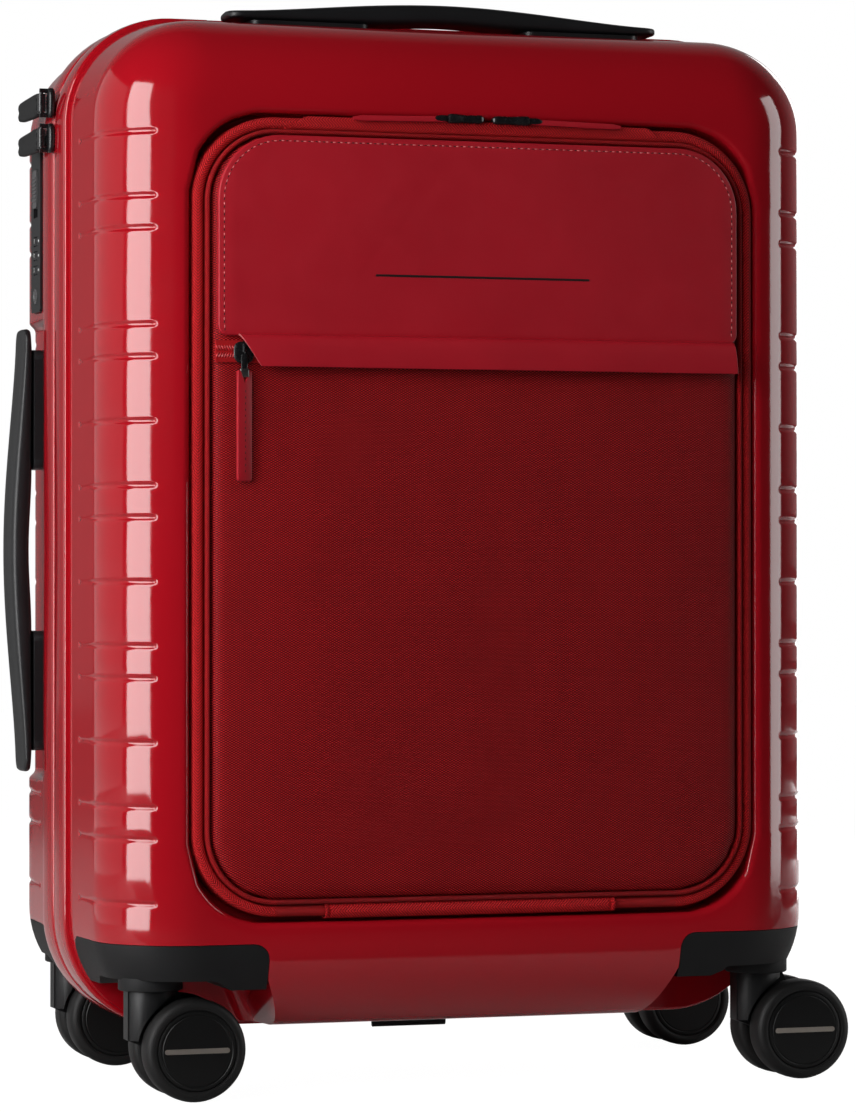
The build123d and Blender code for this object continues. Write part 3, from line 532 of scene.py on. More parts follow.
def wheel_well(side, facing):
    """Space of one wheel well, open to the front, the side and below."""
    mesh = bmesh.new()
    corners = [(WELL_WALL_LOW, 0), (WELL_WALL, WELL_KNEE), (WELL_WALL, WELL_TOP), (FAR, WELL_TOP), (FAR, 0)]
    face = mesh.faces.new([mesh.verts.new((side * x, facing * WELL_REACH, z)) for x, z in corners])
    rim_edges = face.edges[:3]
    drawn_out(mesh, [face], facing * FAR)
    for edge in edges_along(mesh, 1):
        if abs(abs(edge.verts[0].co.x) - WELL_WALL) < CLOSE and edge.verts[0].co.z > WELL_TOP - MM:
            rim_edges.append(edge)
    return rounded(mesh, rim_edges, WELL_ROUND, 6)


def dress_shell(piece, body, node):
    """Opens the closed skin at rim and face, gives the sheet its thickness, and fits it to its body."""
    mesh = bmesh.new()
    mesh.from_mesh(piece.data)
    spare = [face for face in mesh.faces if face.material_index == SPARE]
    bmesh.ops.delete(mesh, geom=spare, context="FACES")
    for face in mesh.faces:
        face.material_index = 0
    mesh.to_mesh(piece.data)
    mesh.free()
    piece.data.materials.clear()
    piece.data.materials.append(shell_gloss)
    piece.data.materials.append(lining_cloth)
    smooth(piece, 38)
    sheet = piece.modifiers.new("sheet", "SOLIDIFY")
    sheet.thickness = WALL
    sheet.offset = -1
    sheet.material_offset = 1
    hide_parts(node)
    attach(piece, body)


front_skin = solid_piece("front_shell_skin", half_shell(FRONT_DEPTH, -1))
cut(front_skin, [wheel_well(side, -1) for side in (-1, 1)])
dress_shell(front_skin, "front_half", "front_shell")

LOCK_HOLE = ((-FAR, 38.2 * MM, 395.7 * MM), (-169.7 * MM, 60.3 * MM, 492.3 * MM))
NOTCH_SPACE = ((-126 * MM, 70 * MM, 503 * MM), (126 * MM, FAR, 2 * FAR))
NOTCH_ROUND = 6 * MM
lock_hole = boxed(*LOCK_HOLE)
rounded(lock_hole, edges_along(lock_hole, 0), 3 * MM)
trolley_notch = boxed(*NOTCH_SPACE)
rounded(trolley_notch, edges_along(trolley_notch, 2), NOTCH_ROUND)
rear_skin = solid_piece("rear_shell_skin", half_shell(REAR_DEPTH, 1))
cut(rear_skin, [wheel_well(side, 1) for side in (-1, 1)] + [lock_hole, trolley_notch])
dress_shell(rear_skin, "rear_half", "rear_shell")

# Main zip
# A woven polyester tape is sewn inside each shell rim, with a coil of nylon teeth along its free edge. The
# two coils mesh at the parting plane and close the gap between the lips.


def in_order(mesh):
    """Points of a single edge loop, one after the other."""
    mesh.verts.ensure_lookup_table()
    found = [mesh.verts[0]]
    edge = found[0].link_edges[0]
    while True:
        vert = edge.other_vert(found[-1])
        if vert == found[0]:
            return found
        found.append(vert)
        edge = next(other for other in vert.link_edges if other != edge)


def inset_by(outline, inset):
    """Rounded rectangle moved in evenly."""
    half, low, high, corner = outline
    return half - inset, low + inset, high - inset, corner - inset


def swept_band(outline, section, facing=-1, pitch=0.0, swell=0.0, steps=12):
    """Band round a rounded rectangle. The section lists inset and depth in millimetres, and the mesh keeps
    the way along and across the band. With a pitch, ridges of that spacing swell out like a coil's turns."""
    if pitch:
        steps = 2 * round(outline[3] * math.pi / 2 / pitch)
    mesh = rounded_loop(*outline, steps)
    if pitch:
        for edge in mesh.edges[:]:
            if edge.calc_length() > 2 * pitch:
                bmesh.ops.subdivide_edges(mesh, edges=[edge], cuts=2 * round(edge.calc_length() / pitch) - 1)
    rim = mesh.verts.layers.float_vector.new("rim")
    out = mesh.verts.layers.float_vector.new("out")
    along = mesh.verts.layers.float.new("along")
    across = mesh.verts.layers.float.new("across")
    ridge = mesh.verts.layers.float.new("ridge")
    path = in_order(mesh)
    way = 0.0
    for number, vert in enumerate(path):
        core, normal = outward(vert.co, *outline)
        vert[rim] = core + normal * outline[3]
        vert[out] = normal
        vert[along] = way
        vert[ridge] = number % 2
        way += (path[(number + 1) % len(path)].co - vert.co).length

    def settle(ring, inset, depth, reach):
        for vert in verts_of(ring):
            spot = vert[rim] - vert[out] * (inset * MM - swell * vert[ridge])
            spot.y = facing * depth * MM
            vert.co = spot
            vert[across] = reach * MM

    ring = mesh.edges[:]
    reach = 0.0
    settle(ring, *section[0], reach)
    for before, after in zip(section, section[1:]):
        ring = next_ring(mesh, ring)
        reach += math.dist(before, after)
        settle(ring, *after, reach)
    bmesh.ops.remove_doubles(mesh, verts=mesh.verts[:], dist=CLOSE)
    bmesh.ops.recalc_face_normals(mesh, faces=mesh.faces[:])
    return mesh


def fitted(piece, look, body, angle=40, node=None):
    """Gives a finished piece its material, its shading and the body it moves with and, where it stands in for
    a solid, hides that solid's node."""
    piece.data.materials.clear()
    piece.data.materials.append(look)
    smooth(piece, angle)
    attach(piece, body)
    if node:
        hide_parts(node)
    return piece


def ripple(value, period):
    """Wave of the given length in metres, from 0 to 1."""
    return value.maths("SINE", value * (2 * math.pi / period)) * 0.5 + 0.5


def kept(start, name):
    """Value that the mesh keeps under a name."""
    return start.add("ShaderNodeAttribute", {"attribute_name": name}, out="Fac")


def tape_cloth(name, dark, light, pitch, turn_back):
    """Woven tape: slanted threads that turn back across the band in a herringbone."""
    material, shader, start = finish(name, Roughness=0.8, Specular_IOR_Level=0.1)
    along, across = kept(start, "along"), kept(start, "across")
    twill = ripple(along + start.maths("PINGPONG", across, turn_back), pitch)
    strands = ripple(across, 0.7 * MM)
    fade = noise(start, place_of(start), 60.0, 3.0)
    feed(shader, "Base Color", two_tone(start, twill * 0.7 + strands * 0.15 + fade * 0.15, dark, light))
    feed(shader, "Normal", bump(start, twill + strands * 0.3, 0.8, 0.5 * MM))
    return material


def mottled(name, dark, light, drift, grain=None, rough=None, relief=0.0, **constants):
    """Plain material whose colour drifts between two tones. Drift and grain are the scale and detail of a
    noise, rough is the least roughness and what the grain adds, and relief is the grain's share in bumps."""
    material, shader, start = finish(name, **constants)
    place = place_of(start)
    feed(shader, "Base Color", two_tone(start, noise(start, place, *drift), dark, light))
    if grain:
        fine = noise(start, place, *grain)
        feed(shader, "Roughness", rough[0] + rough[1] * fine)
        if relief:
            feed(shader, "Normal", bump(start, fine, relief, 0.2 * MM))
    return material


zip_cloth = tape_cloth("zip_cloth", srgb(104, 5, 12), srgb(176, 18, 28), 1.4 * MM, 3 * MM)
zip_teeth = mottled("zip_teeth", srgb(150, 12, 22), srgb(205, 48, 54), (300.0, 2.0), Roughness=0.38, IOR=1.5)

RIM_OUTLINE = (RIM_HALF, RIM_LOW, RIM_HIGH, RIM_CORNER)
TAPE_SECTION = [(2.4, 1.1), (1.3, 1.1), (1.3, 18), (2.4, 18), (2.4, 1.1)]
COIL_SECTION = [(2.3, 0.08), (-0.2, 0.08), (-0.7, 0.3), (-0.85, 0.6), (-0.7, 0.9), (-0.2, 1.1), (2.3, 1.1)]
COIL_PITCH = 1.7 * MM
COIL_SWELL = 0.35 * MM
for end, facing in (("front", -1), ("rear", 1)):
    tape = solid_piece(f"{end}_zip_cloth", swept_band(RIM_OUTLINE, TAPE_SECTION, facing))
    fitted(tape, zip_cloth, f"{end}_half", node=f"{end}_zip_tape")
    coil_mesh = swept_band(RIM_OUTLINE, COIL_SECTION, facing, COIL_PITCH, COIL_SWELL)
    fitted(solid_piece(f"{end}_zip_coil", coil_mesh), zip_teeth, f"{end}_half", 60)

# Hinge strip and floor tab
# A strip of strong tape inside the right side holds the two halves together when the zip is open. A short
# folded tab of the same tape hangs under the case to hold on to while the zip is closed.

HINGE_X = 185.7 * MM
HINGE_LOW = 100 * MM
HINGE_HIGH = 470 * MM
HINGE_REACH = 20 * MM
HINGE_SLACK = 0.5 * MM
HINGE_WAVES = 40


def axis_of(start, vector, axis):
    """One of a vector's three numbers: X, Y or Z."""
    return start.add("ShaderNodeSeparateXYZ", None, {0: vector}, out=axis)


def thickened(piece, thick):
    """Gives an open sheet its thickness, half to either side."""
    sheet = piece.modifiers.new("sheet", "SOLIDIFY")
    sheet.thickness = thick
    sheet.offset = 0
    return sheet


strip_cloth, shader, start = finish("strip_cloth", Roughness=0.8)
place = place_of(start)
weave = ripple(axis_of(start, place, "Z"), 1.4 * MM) * ripple(axis_of(start, place, "Y"), 1.0 * MM)
feed(shader, "Base Color", two_tone(start, weave, srgb(24, 23, 25), srgb(60, 58, 60)))
feed(shader, "Normal", bump(start, weave, 0.4, 0.3 * MM))
strip_mesh = bmesh.new()
bmesh.ops.create_grid(strip_mesh, x_segments=40, y_segments=40, size=0.5)
for vert in strip_mesh.verts:
    across, along = vert.co.x, vert.co.y + 0.5
    slack = HINGE_SLACK * math.sin(along * HINGE_WAVES) * (1 - abs(2 * across))
    vert.co = (HINGE_X + slack, 2 * HINGE_REACH * across, HINGE_LOW + (HINGE_HIGH - HINGE_LOW) * along)
strip = solid_piece("hinge_strip_cloth", strip_mesh)
strip.data.materials.append(strip_cloth)
strip.data.shade_smooth()
thickened(strip, 0.9 * MM)
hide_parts("hinge_strip")
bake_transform(strip, "rear_half", "front_half", start=(HINGE_X, 4 * MM, 0.3), end=(HINGE_X, -4 * MM, 0.3))


def laid(mesh, rows):
    """Open sheet over rows of points. The mesh keeps the way along the rows and across them."""
    keeps = mesh.verts.layers.float
    along = keeps.get("along") or keeps.new("along")
    across = keeps.get("across") or keeps.new("across")
    lines = [[mesh.verts.new(spot) for spot in row] for row in rows]
    way = 0.0
    for number, line in enumerate(lines):
        if number:
            way += (line[0].co - lines[number - 1][0].co).length
        reach = 0.0
        for before, vert in zip([line[0]] + line, line):
            reach += (vert.co - before.co).length
            vert[along] = way
            vert[across] = reach
    for line, beside in zip(lines, lines[1:]):
        for number in range(len(line) - 1):
            mesh.faces.new((line[number], line[number + 1], beside[number + 1], beside[number]))
    bmesh.ops.recalc_face_normals(mesh, faces=mesh.faces[:])


TAB_HALF = 20 * MM
TAB_PATH = ((2.9, 31.6), (2.9, 27), (2.95, 24.4), (3.3, 23.4), (4.2, 23.0), (5.1, 23.4), (5.45, 24.4),
            (5.5, 27), (5.5, 31.6))
tab_mesh = bmesh.new()
laid(tab_mesh, [[(TAB_HALF * (step / 4 - 1), y * MM, z * MM) for y, z in TAB_PATH] for step in range(9)])
tab = solid_piece("floor_tab_cloth", tab_mesh)
thickened(tab, 0.6 * MM)
fitted(tab, strip_cloth, "rear_half", 80, "bottom_tab")

# Pocket lining
# Soft fabric tray behind the pocket door, glued to the back of the shell's ledge.

TRAY_OUTLINE = (140 * MM, 96 * MM, 481 * MM, 32 * MM)
TRAY_SECTION = ((0, 89.4), (0.3, 86), (0.2, 80), (0.6, 76.5), (1.8, 74), (4.4, 72.6), (8, 72.2))
TRAY_BACK = 72.4 * MM
TRAY_MIDDLE = 288.5 * MM
TRAY_CELL = (24 * MM, 34 * MM)
TRAY_WAVE = 0.8 * MM
tray_mesh = swept_band(TRAY_OUTLINE, TRAY_SECTION)
back_rim = [edge for edge in tray_mesh.edges if edge.is_boundary and edge.verts[0].co.y > -TRAY_BACK]
bmesh.ops.edgeloop_fill(tray_mesh, edges=back_rim)
sliced(tray_mesh, [step * TRAY_CELL[0] for step in range(-5, 6)],
       [TRAY_MIDDLE + step * TRAY_CELL[1] for step in range(-5, 6)])
for vert in tray_mesh.verts:
    if vert.co.y > -TRAY_BACK:
        wave = math.sin(vert.co.x * 40 + 2 * math.sin(vert.co.z * 30))
        vert.co.y -= TRAY_WAVE * (1 + wave) / 2
bmesh.ops.recalc_face_normals(tray_mesh, faces=tray_mesh.faces[:])
tray = solid_piece("pocket_lining", tray_mesh)
thickened(tray, 1.2 * MM)
fitted(tray, lining_cloth, "front_half", 80, "pocket_tray")

# Pocket edge
# The zip tape of the pocket is folded into a firm woven band round the opening. The door carries a narrow
# ribbed binding beside it. Below, the door hangs on a fabric roll that covers the band.

BAND_OUTLINE = (147 * MM, 91 * MM, 484 * MM, 42 * MM)
BAND_SECTION = ((0.2, 92.2), (0, 100), (0, 109.4), (0.4, 110.9), (1.5, 111.8), (3.0, 112.1), (4.5, 111.8),
                (5.3, 110.9), (5.5, 109.4), (5.4, 100), (5.3, 92.2), (0.2, 92.2))
band_cloth = tape_cloth("band_cloth", srgb(112, 7, 10), srgb(228, 36, 42), 1.5 * MM, 3 * MM)
band = solid_piece("pocket_band_cloth", swept_band(BAND_OUTLINE, BAND_SECTION, steps=20))
fitted(band, band_cloth, "front_half", 70, "pocket_zip_band")

BINDING_SECTION = ((5.9, 100.2), (5.95, 112), (6.3, 113.3), (7.2, 113.9), (8.1, 113.3), (8.45, 112),
                   (8.45, 103.9), (11.5, 103.9), (11.5, 102.6), (8.45, 102.6), (8.45, 100.2), (5.9, 100.2))
binding_cloth = tape_cloth("binding_cloth", srgb(92, 5, 8), srgb(204, 28, 34), 1.2 * MM, 9 * MM)
binding = solid_piece("door_binding_cloth", swept_band(BAND_OUTLINE, BINDING_SECTION, steps=20))
fitted(binding, binding_cloth, "pocket_door", 70, "door_binding")

ROLL_LEFT = -80 * MM
ROLL_RIGHT = 72 * MM
ROLL_SEAM = 3 * MM
ROLL_FOOT = 106
ROLL_PATH = ((90.4, ROLL_FOOT), (89.9, 109.5), (90.6, 111.9), (92.6, 113.2), (94.8, 113.1), (96.4, 111.9),
             (96.9, 109.5), (96.9, ROLL_FOOT))
roll_xs = [ROLL_LEFT + (ROLL_RIGHT - ROLL_LEFT) * step / 32 for step in range(33)]
roll_xs += [end + side * offset * MM for end, side in ((ROLL_LEFT, 1), (ROLL_RIGHT, -1))
            for offset in (0.6, 1.2, 1.8, 2.4, 3, 3.6)]
roll_rows = []
for x in sorted(roll_xs):
    from_end = min(x - ROLL_LEFT, ROLL_RIGHT - x) / ROLL_SEAM
    fold = 1.05 - 0.17 * ease(0.4, 0.7, from_end) + 0.12 * ease(0.7, 1.2, from_end)
    wave = 0.12 * math.sin(x / MM * 0.27)
    roll_rows.append([(x, -(ROLL_FOOT + (y - ROLL_FOOT) * fold + wave) * MM, z * MM) for z, y in ROLL_PATH])
roll_mesh = bmesh.new()
laid(roll_mesh, roll_rows)
roll = solid_piece("door_hinge_roll", roll_mesh)
thickened(roll, 0.5 * MM)
fitted(roll, band_cloth, "front_half", 70)

# Padded panel
# The door is a thin board with foam over it, covered in coarse basket-weave nylon that is drawn tight over
# the edges and swells a little in the middle. Its upper part is held flat under the leather.

THREAD_WIDE = 1.03 * MM
THREAD_TALL = 0.6 * MM
THREAD_SLIP = 0.5 * MM
nylon_weave, shader, start = finish("nylon_weave", Specular_IOR_Level=0.07)
place = place_of(start)
bend = start.add("ShaderNodeTexNoise", None, {"Vector": place, "Scale": 45.0, "Detail": 2.0}, out="Color")
slip = start.add("ShaderNodeVectorMath", {"operation": "MULTIPLY_ADD"},
                 {0: bend, 1: (THREAD_SLIP, THREAD_SLIP, THREAD_SLIP), 2: place}, out="Vector")
columns = axis_of(start, slip, "X") * (math.pi / THREAD_WIDE)
rows = axis_of(start, slip, "Z") * (math.pi / THREAD_TALL)
cross = start.maths("SINE", columns) * start.maths("SINE", rows)
over = start.add("ShaderNodeMapRange", {"interpolation_type": "SMOOTHSTEP"}, {0: cross, 1: -0.15, 2: 0.55})
gap = start.maths("ABSOLUTE", start.maths("COSINE", rows))
fleck = noise(start, slip, 700.0, 2.0)
blotch = noise(start, place, 25.0, 3.0)
light_share = over * (0.55 + 0.45 * fleck) * (0.8 + 0.4 * blotch) * (1 - gap * 0.35)
feed(shader, "Base Color", two_tone(start, light_share, srgb(84, 4, 7), srgb(238, 44, 50)))
feed(shader, "Roughness", 0.62 - 0.2 * over)
feed(shader, "Normal", bump(start, over * (1 - 0.5 * gap), 0.7, 0.3 * MM))

PANEL_OUTLINE = inset_by(BAND_OUTLINE, 8.6 * MM)
PANEL_SWELL = 2.4 * MM
PANEL_PRESSURE = 4.0
PANEL_FRAMES = 20
PANEL_GRAIN = 4 * MM
PANEL_EDGE = (5 * MM, 14 * MM)
PANEL_FACE = (112 * MM, 114.5 * MM)
PANEL_COVERED = (352 * MM, 366 * MM)
PANEL_SECTION = ((9, 104.3), (2, 104.3), (0.3, 105.4), (0, 108), (0.1, 112), (0.9, 114.2), (2.4, 115.3),
                 (6, 115.8), (12, 116.0))
panel_mesh = swept_band(PANEL_OUTLINE, PANEL_SECTION, steps=16)
open_edges = [edge for edge in panel_mesh.edges if edge.is_boundary]
bmesh.ops.holes_fill(panel_mesh, edges=open_edges, sides=0)
bmesh.ops.recalc_face_normals(panel_mesh, faces=panel_mesh.faces[:])
panel = solid_piece("pocket_panel_pad", panel_mesh)


def swollen(piece, free, frames, pressure, most):
    """Fills a pad with pressure while the points where free is 0 stay, then scales the swell down to most."""
    remesh = piece.modifiers.new("even", "REMESH")
    remesh.mode = "VOXEL"
    remesh.voxel_size = PANEL_GRAIN
    made_solid(piece)
    start_at = [vert.co.copy() for vert in piece.data.vertices]
    pins = piece.vertex_groups.new(name="held")
    for vert in piece.data.vertices:
        pins.add([vert.index], 1 - free(vert.co), "REPLACE")
    cloth = piece.modifiers.new("cloth", "CLOTH")
    cloth.settings.use_pressure = True
    cloth.settings.uniform_pressure_force = pressure
    cloth.settings.vertex_group_mass = "held"
    cloth.settings.effector_weights.gravity = 0
    cloth.settings.quality = 5
    cloth.point_cache.frame_end = frames
    for frame_number in range(1, frames + 1):
        bpy.context.scene.frame_set(frame_number)
    made_solid(piece)
    bpy.context.scene.frame_set(1)
    farthest = max((vert.co - old).length for vert, old in zip(piece.data.vertices, start_at))
    keep = min(1.0, most / max(farthest, CLOSE))
    for vert, old in zip(piece.data.vertices, start_at):
        vert.co = old + (vert.co - old) * keep
    finer = piece.modifiers.new("finer", "SUBSURF")
    finer.levels = 1
    finer.render_levels = 1


def panel_free(spot):
    """1 in the open middle of the nylon, 0 at its edges, on its back and under the leather."""
    core, normal = outward(spot, *PANEL_OUTLINE)
    inset = PANEL_OUTLINE[3] - (Vector((spot.x, 0, spot.z)) - core).length
    if spot.x == core.x and spot.z == core.z:
        inset = PANEL_OUTLINE[3]
    inset = max(inset, min(PANEL_OUTLINE[0] - abs(spot.x), spot.z - PANEL_OUTLINE[1]))
    return ease(*PANEL_EDGE, inset) * ease(*PANEL_FACE, -spot.y) * (1 - ease(*PANEL_COVERED, spot.z))


swollen(panel, panel_free, PANEL_FRAMES, PANEL_PRESSURE, PANEL_SWELL)
fitted(panel, nylon_weave, "pocket_door", 80, "pocket_panel")

# Leather panel
# Smooth dyed leather is laid over the upper part of the padded door and sewn down along its sides and top. A
# thin dark strip is set into it as a plain line.

leather, shader, start = finish("leather", IOR=1.45, Specular_IOR_Level=0.25)
place = place_of(start)
pores = start.add("ShaderNodeTexVoronoi", {"feature": "DISTANCE_TO_EDGE"}, {"Vector": place, "Scale": 1400.0})
creases = noise(start, place, 90.0, 4.0)
tone = noise(start, place, 16.0, 2.0)
feed(shader, "Base Color", two_tone(start, tone * 0.7 + creases * 0.3, srgb(154, 16, 30), srgb(182, 24, 40)))
feed(shader, "Roughness", 0.36 + 0.16 * creases)
relief = start.maths("MINIMUM", pores * 6, 1.0) * 0.5 + creases
feed(shader, "Normal", bump(start, relief, 0.16, 0.3 * MM))
raw_edge = mottled("raw_edge", srgb(158, 40, 48), srgb(190, 80, 84), (500.0, 3.0), Roughness=0.7)

LEATHER_HALF = 136 * MM
LEATHER_LOW = 375.8 * MM
LEATHER_HIGH = 474.6 * MM
LEATHER_CORNER = 32 * MM
LEATHER_FOOT = 5 * MM
LEATHER_BACK = 115.4 * MM
LEATHER_FRONT = 118.4 * MM
LEATHER_EDGE = 0.8 * MM
LEATHER_CROWN = 0.9 * MM
LEATHER_MIDDLE = 424.5 * MM
LEATHER_CROWN_HALF = 52 * MM
LEATHER_CELL = (11.5 * MM, 5 * MM)


def leather_shape(inset):
    """Outline of the leather as a face, moved in evenly."""
    mesh = bmesh.new()
    half, low, high = LEATHER_HALF - inset, LEATHER_LOW + inset, LEATHER_HIGH - inset
    verts = [mesh.verts.new((x, 0, z)) for x, z in ((-half, low), (half, low), (half, high), (-half, high))]
    mesh.faces.new(verts)
    for corners, radius in ((verts[2:], LEATHER_CORNER - inset), (verts[:2], LEATHER_FOOT - inset / 2)):
        bmesh.ops.bevel(mesh, geom=corners, offset=radius, offset_type="OFFSET", segments=12, profile=0.5,
                        affect="VERTICES", material=-1)
    return mesh


leather_mesh = leather_shape(0)
bmesh.ops.translate(leather_mesh, vec=(0, -LEATHER_BACK, 0), verts=leather_mesh.verts[:])
drawn_out(leather_mesh, leather_mesh.faces[:], LEATHER_BACK - LEATHER_FRONT)
front_edges = [edge for edge in leather_mesh.edges
               if all(vert.co.y < -LEATHER_FRONT + CLOSE for vert in edge.verts)]
rounded(leather_mesh, front_edges, LEATHER_EDGE, 3)
sliced(leather_mesh, [step * LEATHER_CELL[0] for step in range(-11, 12)],
       [LEATHER_MIDDLE + step * LEATHER_CELL[1] for step in range(-11, 12)])


def leather_rise(x, z):
    """How far the leather's face swells out over the padding."""
    across = x / LEATHER_HALF
    up = (z - LEATHER_MIDDLE) / LEATHER_CROWN_HALF
    return LEATHER_CROWN * (1 - across ** 2) * (1 - up ** 2)


for vert in leather_mesh.verts:
    if vert.co.y < -LEATHER_FRONT + 0.1 * MM:
        vert.co.y -= max(0.0, leather_rise(vert.co.x, vert.co.z))
leather_cover = solid_piece("leather_cover", leather_mesh)
fitted(leather_cover, leather, "pocket_door", 50, "leather_panel")

thread_pink = mottled("thread_pink", srgb(176, 66, 72), srgb(226, 140, 140), (1500.0, 2.0), Roughness=0.6)
# Painted shade: the dark slots beside the leather seam's stitches stand for the shade in the stitch holes.
# The same near-black draws the dark thread of the small pull's seam.
stitch_hole_shade_and_dark_thread = mottled("stitch_hole_shade_and_dark_thread", srgb(40, 2, 6), srgb(66, 6, 10), (900.0, 2.0), Roughness=0.9)


def spaced(path, pitch):
    """Points every pitch along a line of points, each with the line's direction there."""
    found = []
    way, due = 0.0, pitch / 2
    for before, after in zip(path, path[1:]):
        run = (after - before).length
        while due <= way + run:
            found.append((before.lerp(after, (due - way) / run), (after - before).normalized()))
            due += pitch
        way += run
    return found


def stitches(name, path, pitch, long, wide, front, body, thread, hole=None):
    """Row of sewn stitches along a line on a face that looks to the front, each with a slot beside it whose
    dark colour is painted shade in the stitch hole.
    """
    mesh = bmesh.new()
    seats = [(spot, run, 0) for spot, run in spaced(path, pitch)]
    if hole:
        seats += [(spot + run * 0.42 * pitch, run, 1) for spot, run in spaced(path, pitch)]
    faces_of = []
    for spot, run, look in seats:
        turn = Matrix.Rotation(math.atan2(-run.z, run.x), 4, "Y")
        seat = Vector((spot.x, -front(spot.x, spot.z), spot.z))
        size = Matrix.Diagonal((long / 2, wide / 2 * (1 - 0.8 * look), wide / 2, 1))
        before = len(mesh.faces)
        bmesh.ops.create_uvsphere(mesh, u_segments=8, v_segments=4, radius=1.0,
                                  matrix=Matrix.Translation(seat) @ turn @ size)
        faces_of += [look] * (len(mesh.faces) - before)
    for face, look in zip(mesh.faces, faces_of):
        face.material_index = look
    piece = solid_piece(name, mesh)
    for look in (thread, hole):
        if look:
            piece.data.materials.append(look)
    piece.data.shade_smooth()
    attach(piece, body)
    return piece


STITCH_INSET = 2.9 * MM
stitch_loop = leather_shape(STITCH_INSET)
bmesh.ops.delete(stitch_loop, geom=stitch_loop.faces[:], context="FACES_ONLY")
stitch_path = [vert.co.copy() for vert in in_order(stitch_loop)]
stitch_loop.free()
low_left = min(range(len(stitch_path)), key=lambda n: stitch_path[n].x + 3 * stitch_path[n].z)
stitch_path = stitch_path[low_left:] + stitch_path[:low_left]
if stitch_path[1].z < LEATHER_LOW + 12 * MM:
    stitch_path = [stitch_path[0]] + stitch_path[:0:-1]
seam_path = [spot for spot in stitch_path if spot.z > LEATHER_LOW + 5 * MM]
seam_path = [Vector((seam_path[0].x, 0, LEATHER_LOW + 3 * MM))] + seam_path
seam_path.append(Vector((seam_path[-1].x, 0, LEATHER_LOW + 3 * MM)))


def leather_face(x, z):
    return LEATHER_FRONT + max(0.0, leather_rise(x, z))


stitches("leather_seam", seam_path, 3.75 * MM, 1.5 * MM, 0.6 * MM, leather_face, "pocket_door", thread_pink,
         stitch_hole_shade_and_dark_thread)

INLAY_Z = 406.7 * MM
INLAY_HALF = 56 * MM


def skinned(mesh, rings):
    """Closed skin over rings of points, one after the other."""
    loops = [[mesh.verts.new(spot) for spot in ring] for ring in rings]
    for loop, beside in zip(loops, loops[1:]):
        for number in range(len(loop)):
            after = (number + 1) % len(loop)
            mesh.faces.new((loop[number], loop[after], beside[after], beside[number]))
    mesh.faces.new(loops[0])
    mesh.faces.new(loops[-1])
    bmesh.ops.recalc_face_normals(mesh, faces=mesh.faces[:])


INLAY_SECTION = ((-0.55, -0.4), (-0.55, 0.1), (-0.3, 0.22), (0.3, 0.22), (0.55, 0.1), (0.55, -0.4))
inlay_rings = []
for step in range(33):
    x = INLAY_HALF * (step / 16 - 1)
    face_y = leather_face(x, INLAY_Z)
    inlay_rings.append([(x, -face_y - out * MM, INLAY_Z + up * MM) for up, out in INLAY_SECTION])
inlay_mesh = bmesh.new()
skinned(inlay_mesh, inlay_rings)
inlay_black = mottled("inlay_black", srgb(14, 10, 11), srgb(34, 22, 24), (200.0, 2.0), Roughness=0.4)
inlay = solid_piece("leather_inlay", inlay_mesh)
fitted(inlay, inlay_black, "pocket_door", 50)

# Zip flap
# Strip of the same leather sewn in under the panel's lower edge. It stands off in a soft curve over the small
# zip, with raw cut ends: slanted on the left, where the slider parks.

FLAP_STEPS = 48
FLAP_RIM = 0.001
FLAP_HIGH = 376.4
FLAP_DROP = 15.6
FLAP_PATH = ((FLAP_HIGH, 117.6), (376.2, 119.4), (375.4, 121.0), (373.6, 122.1), (370.5, 122.6),
             (366.5, 122.7), (362.8, 122.6), (361.1, 122.45), (FLAP_HIGH - FLAP_DROP, 122.4))
flap_shares = [0, FLAP_RIM] + [step / FLAP_STEPS for step in range(1, FLAP_STEPS)] + [1 - FLAP_RIM, 1]
flap_rows = []
for share in flap_shares:
    row = []
    for z, y in FLAP_PATH:
        down = (FLAP_HIGH - z) / FLAP_DROP
        left = -126 + 10.5 * down
        right = 133.4 + 1.6 * down
        x = left + (right - left) * share
        sway = 0.3 * down * math.sin(x * 0.045) + 0.15 * down * math.sin(x * 0.11 + 1)
        row.append((x * MM, -(y + sway) * MM, z * MM))
    flap_rows.append(row)
flap_mesh = bmesh.new()
laid(flap_mesh, flap_rows)
flap = solid_piece("zip_flap_leather", flap_mesh)
thickened(flap, 0.9 * MM).material_offset_rim = 1
fitted(flap, leather, "pocket_door", 60, "zip_flap")
flap.data.materials.append(raw_edge)

# Small zip
# Coil zip sewn into the panel under the flap: a flat tape with two rows of slanted teeth, a black slider with
# a bridge and a tongue, and a leather pull crimped on to the tongue's end.

SMALL_LEFT = -137 * MM
SMALL_RIGHT = 130 * MM
SMALL_SPACE = ((SMALL_LEFT, -117.4 * MM, 362.6 * MM), (SMALL_RIGHT, -115.2 * MM, 373.4 * MM))
small_mesh = boxed(*SMALL_SPACE)
rounded(small_mesh, edges_along(small_mesh, 0), 0.4 * MM, 2)
small_tape = solid_piece("small_zip_tape", small_mesh)
fitted(small_tape, binding_cloth, "pocket_door", node="small_zip_coil")

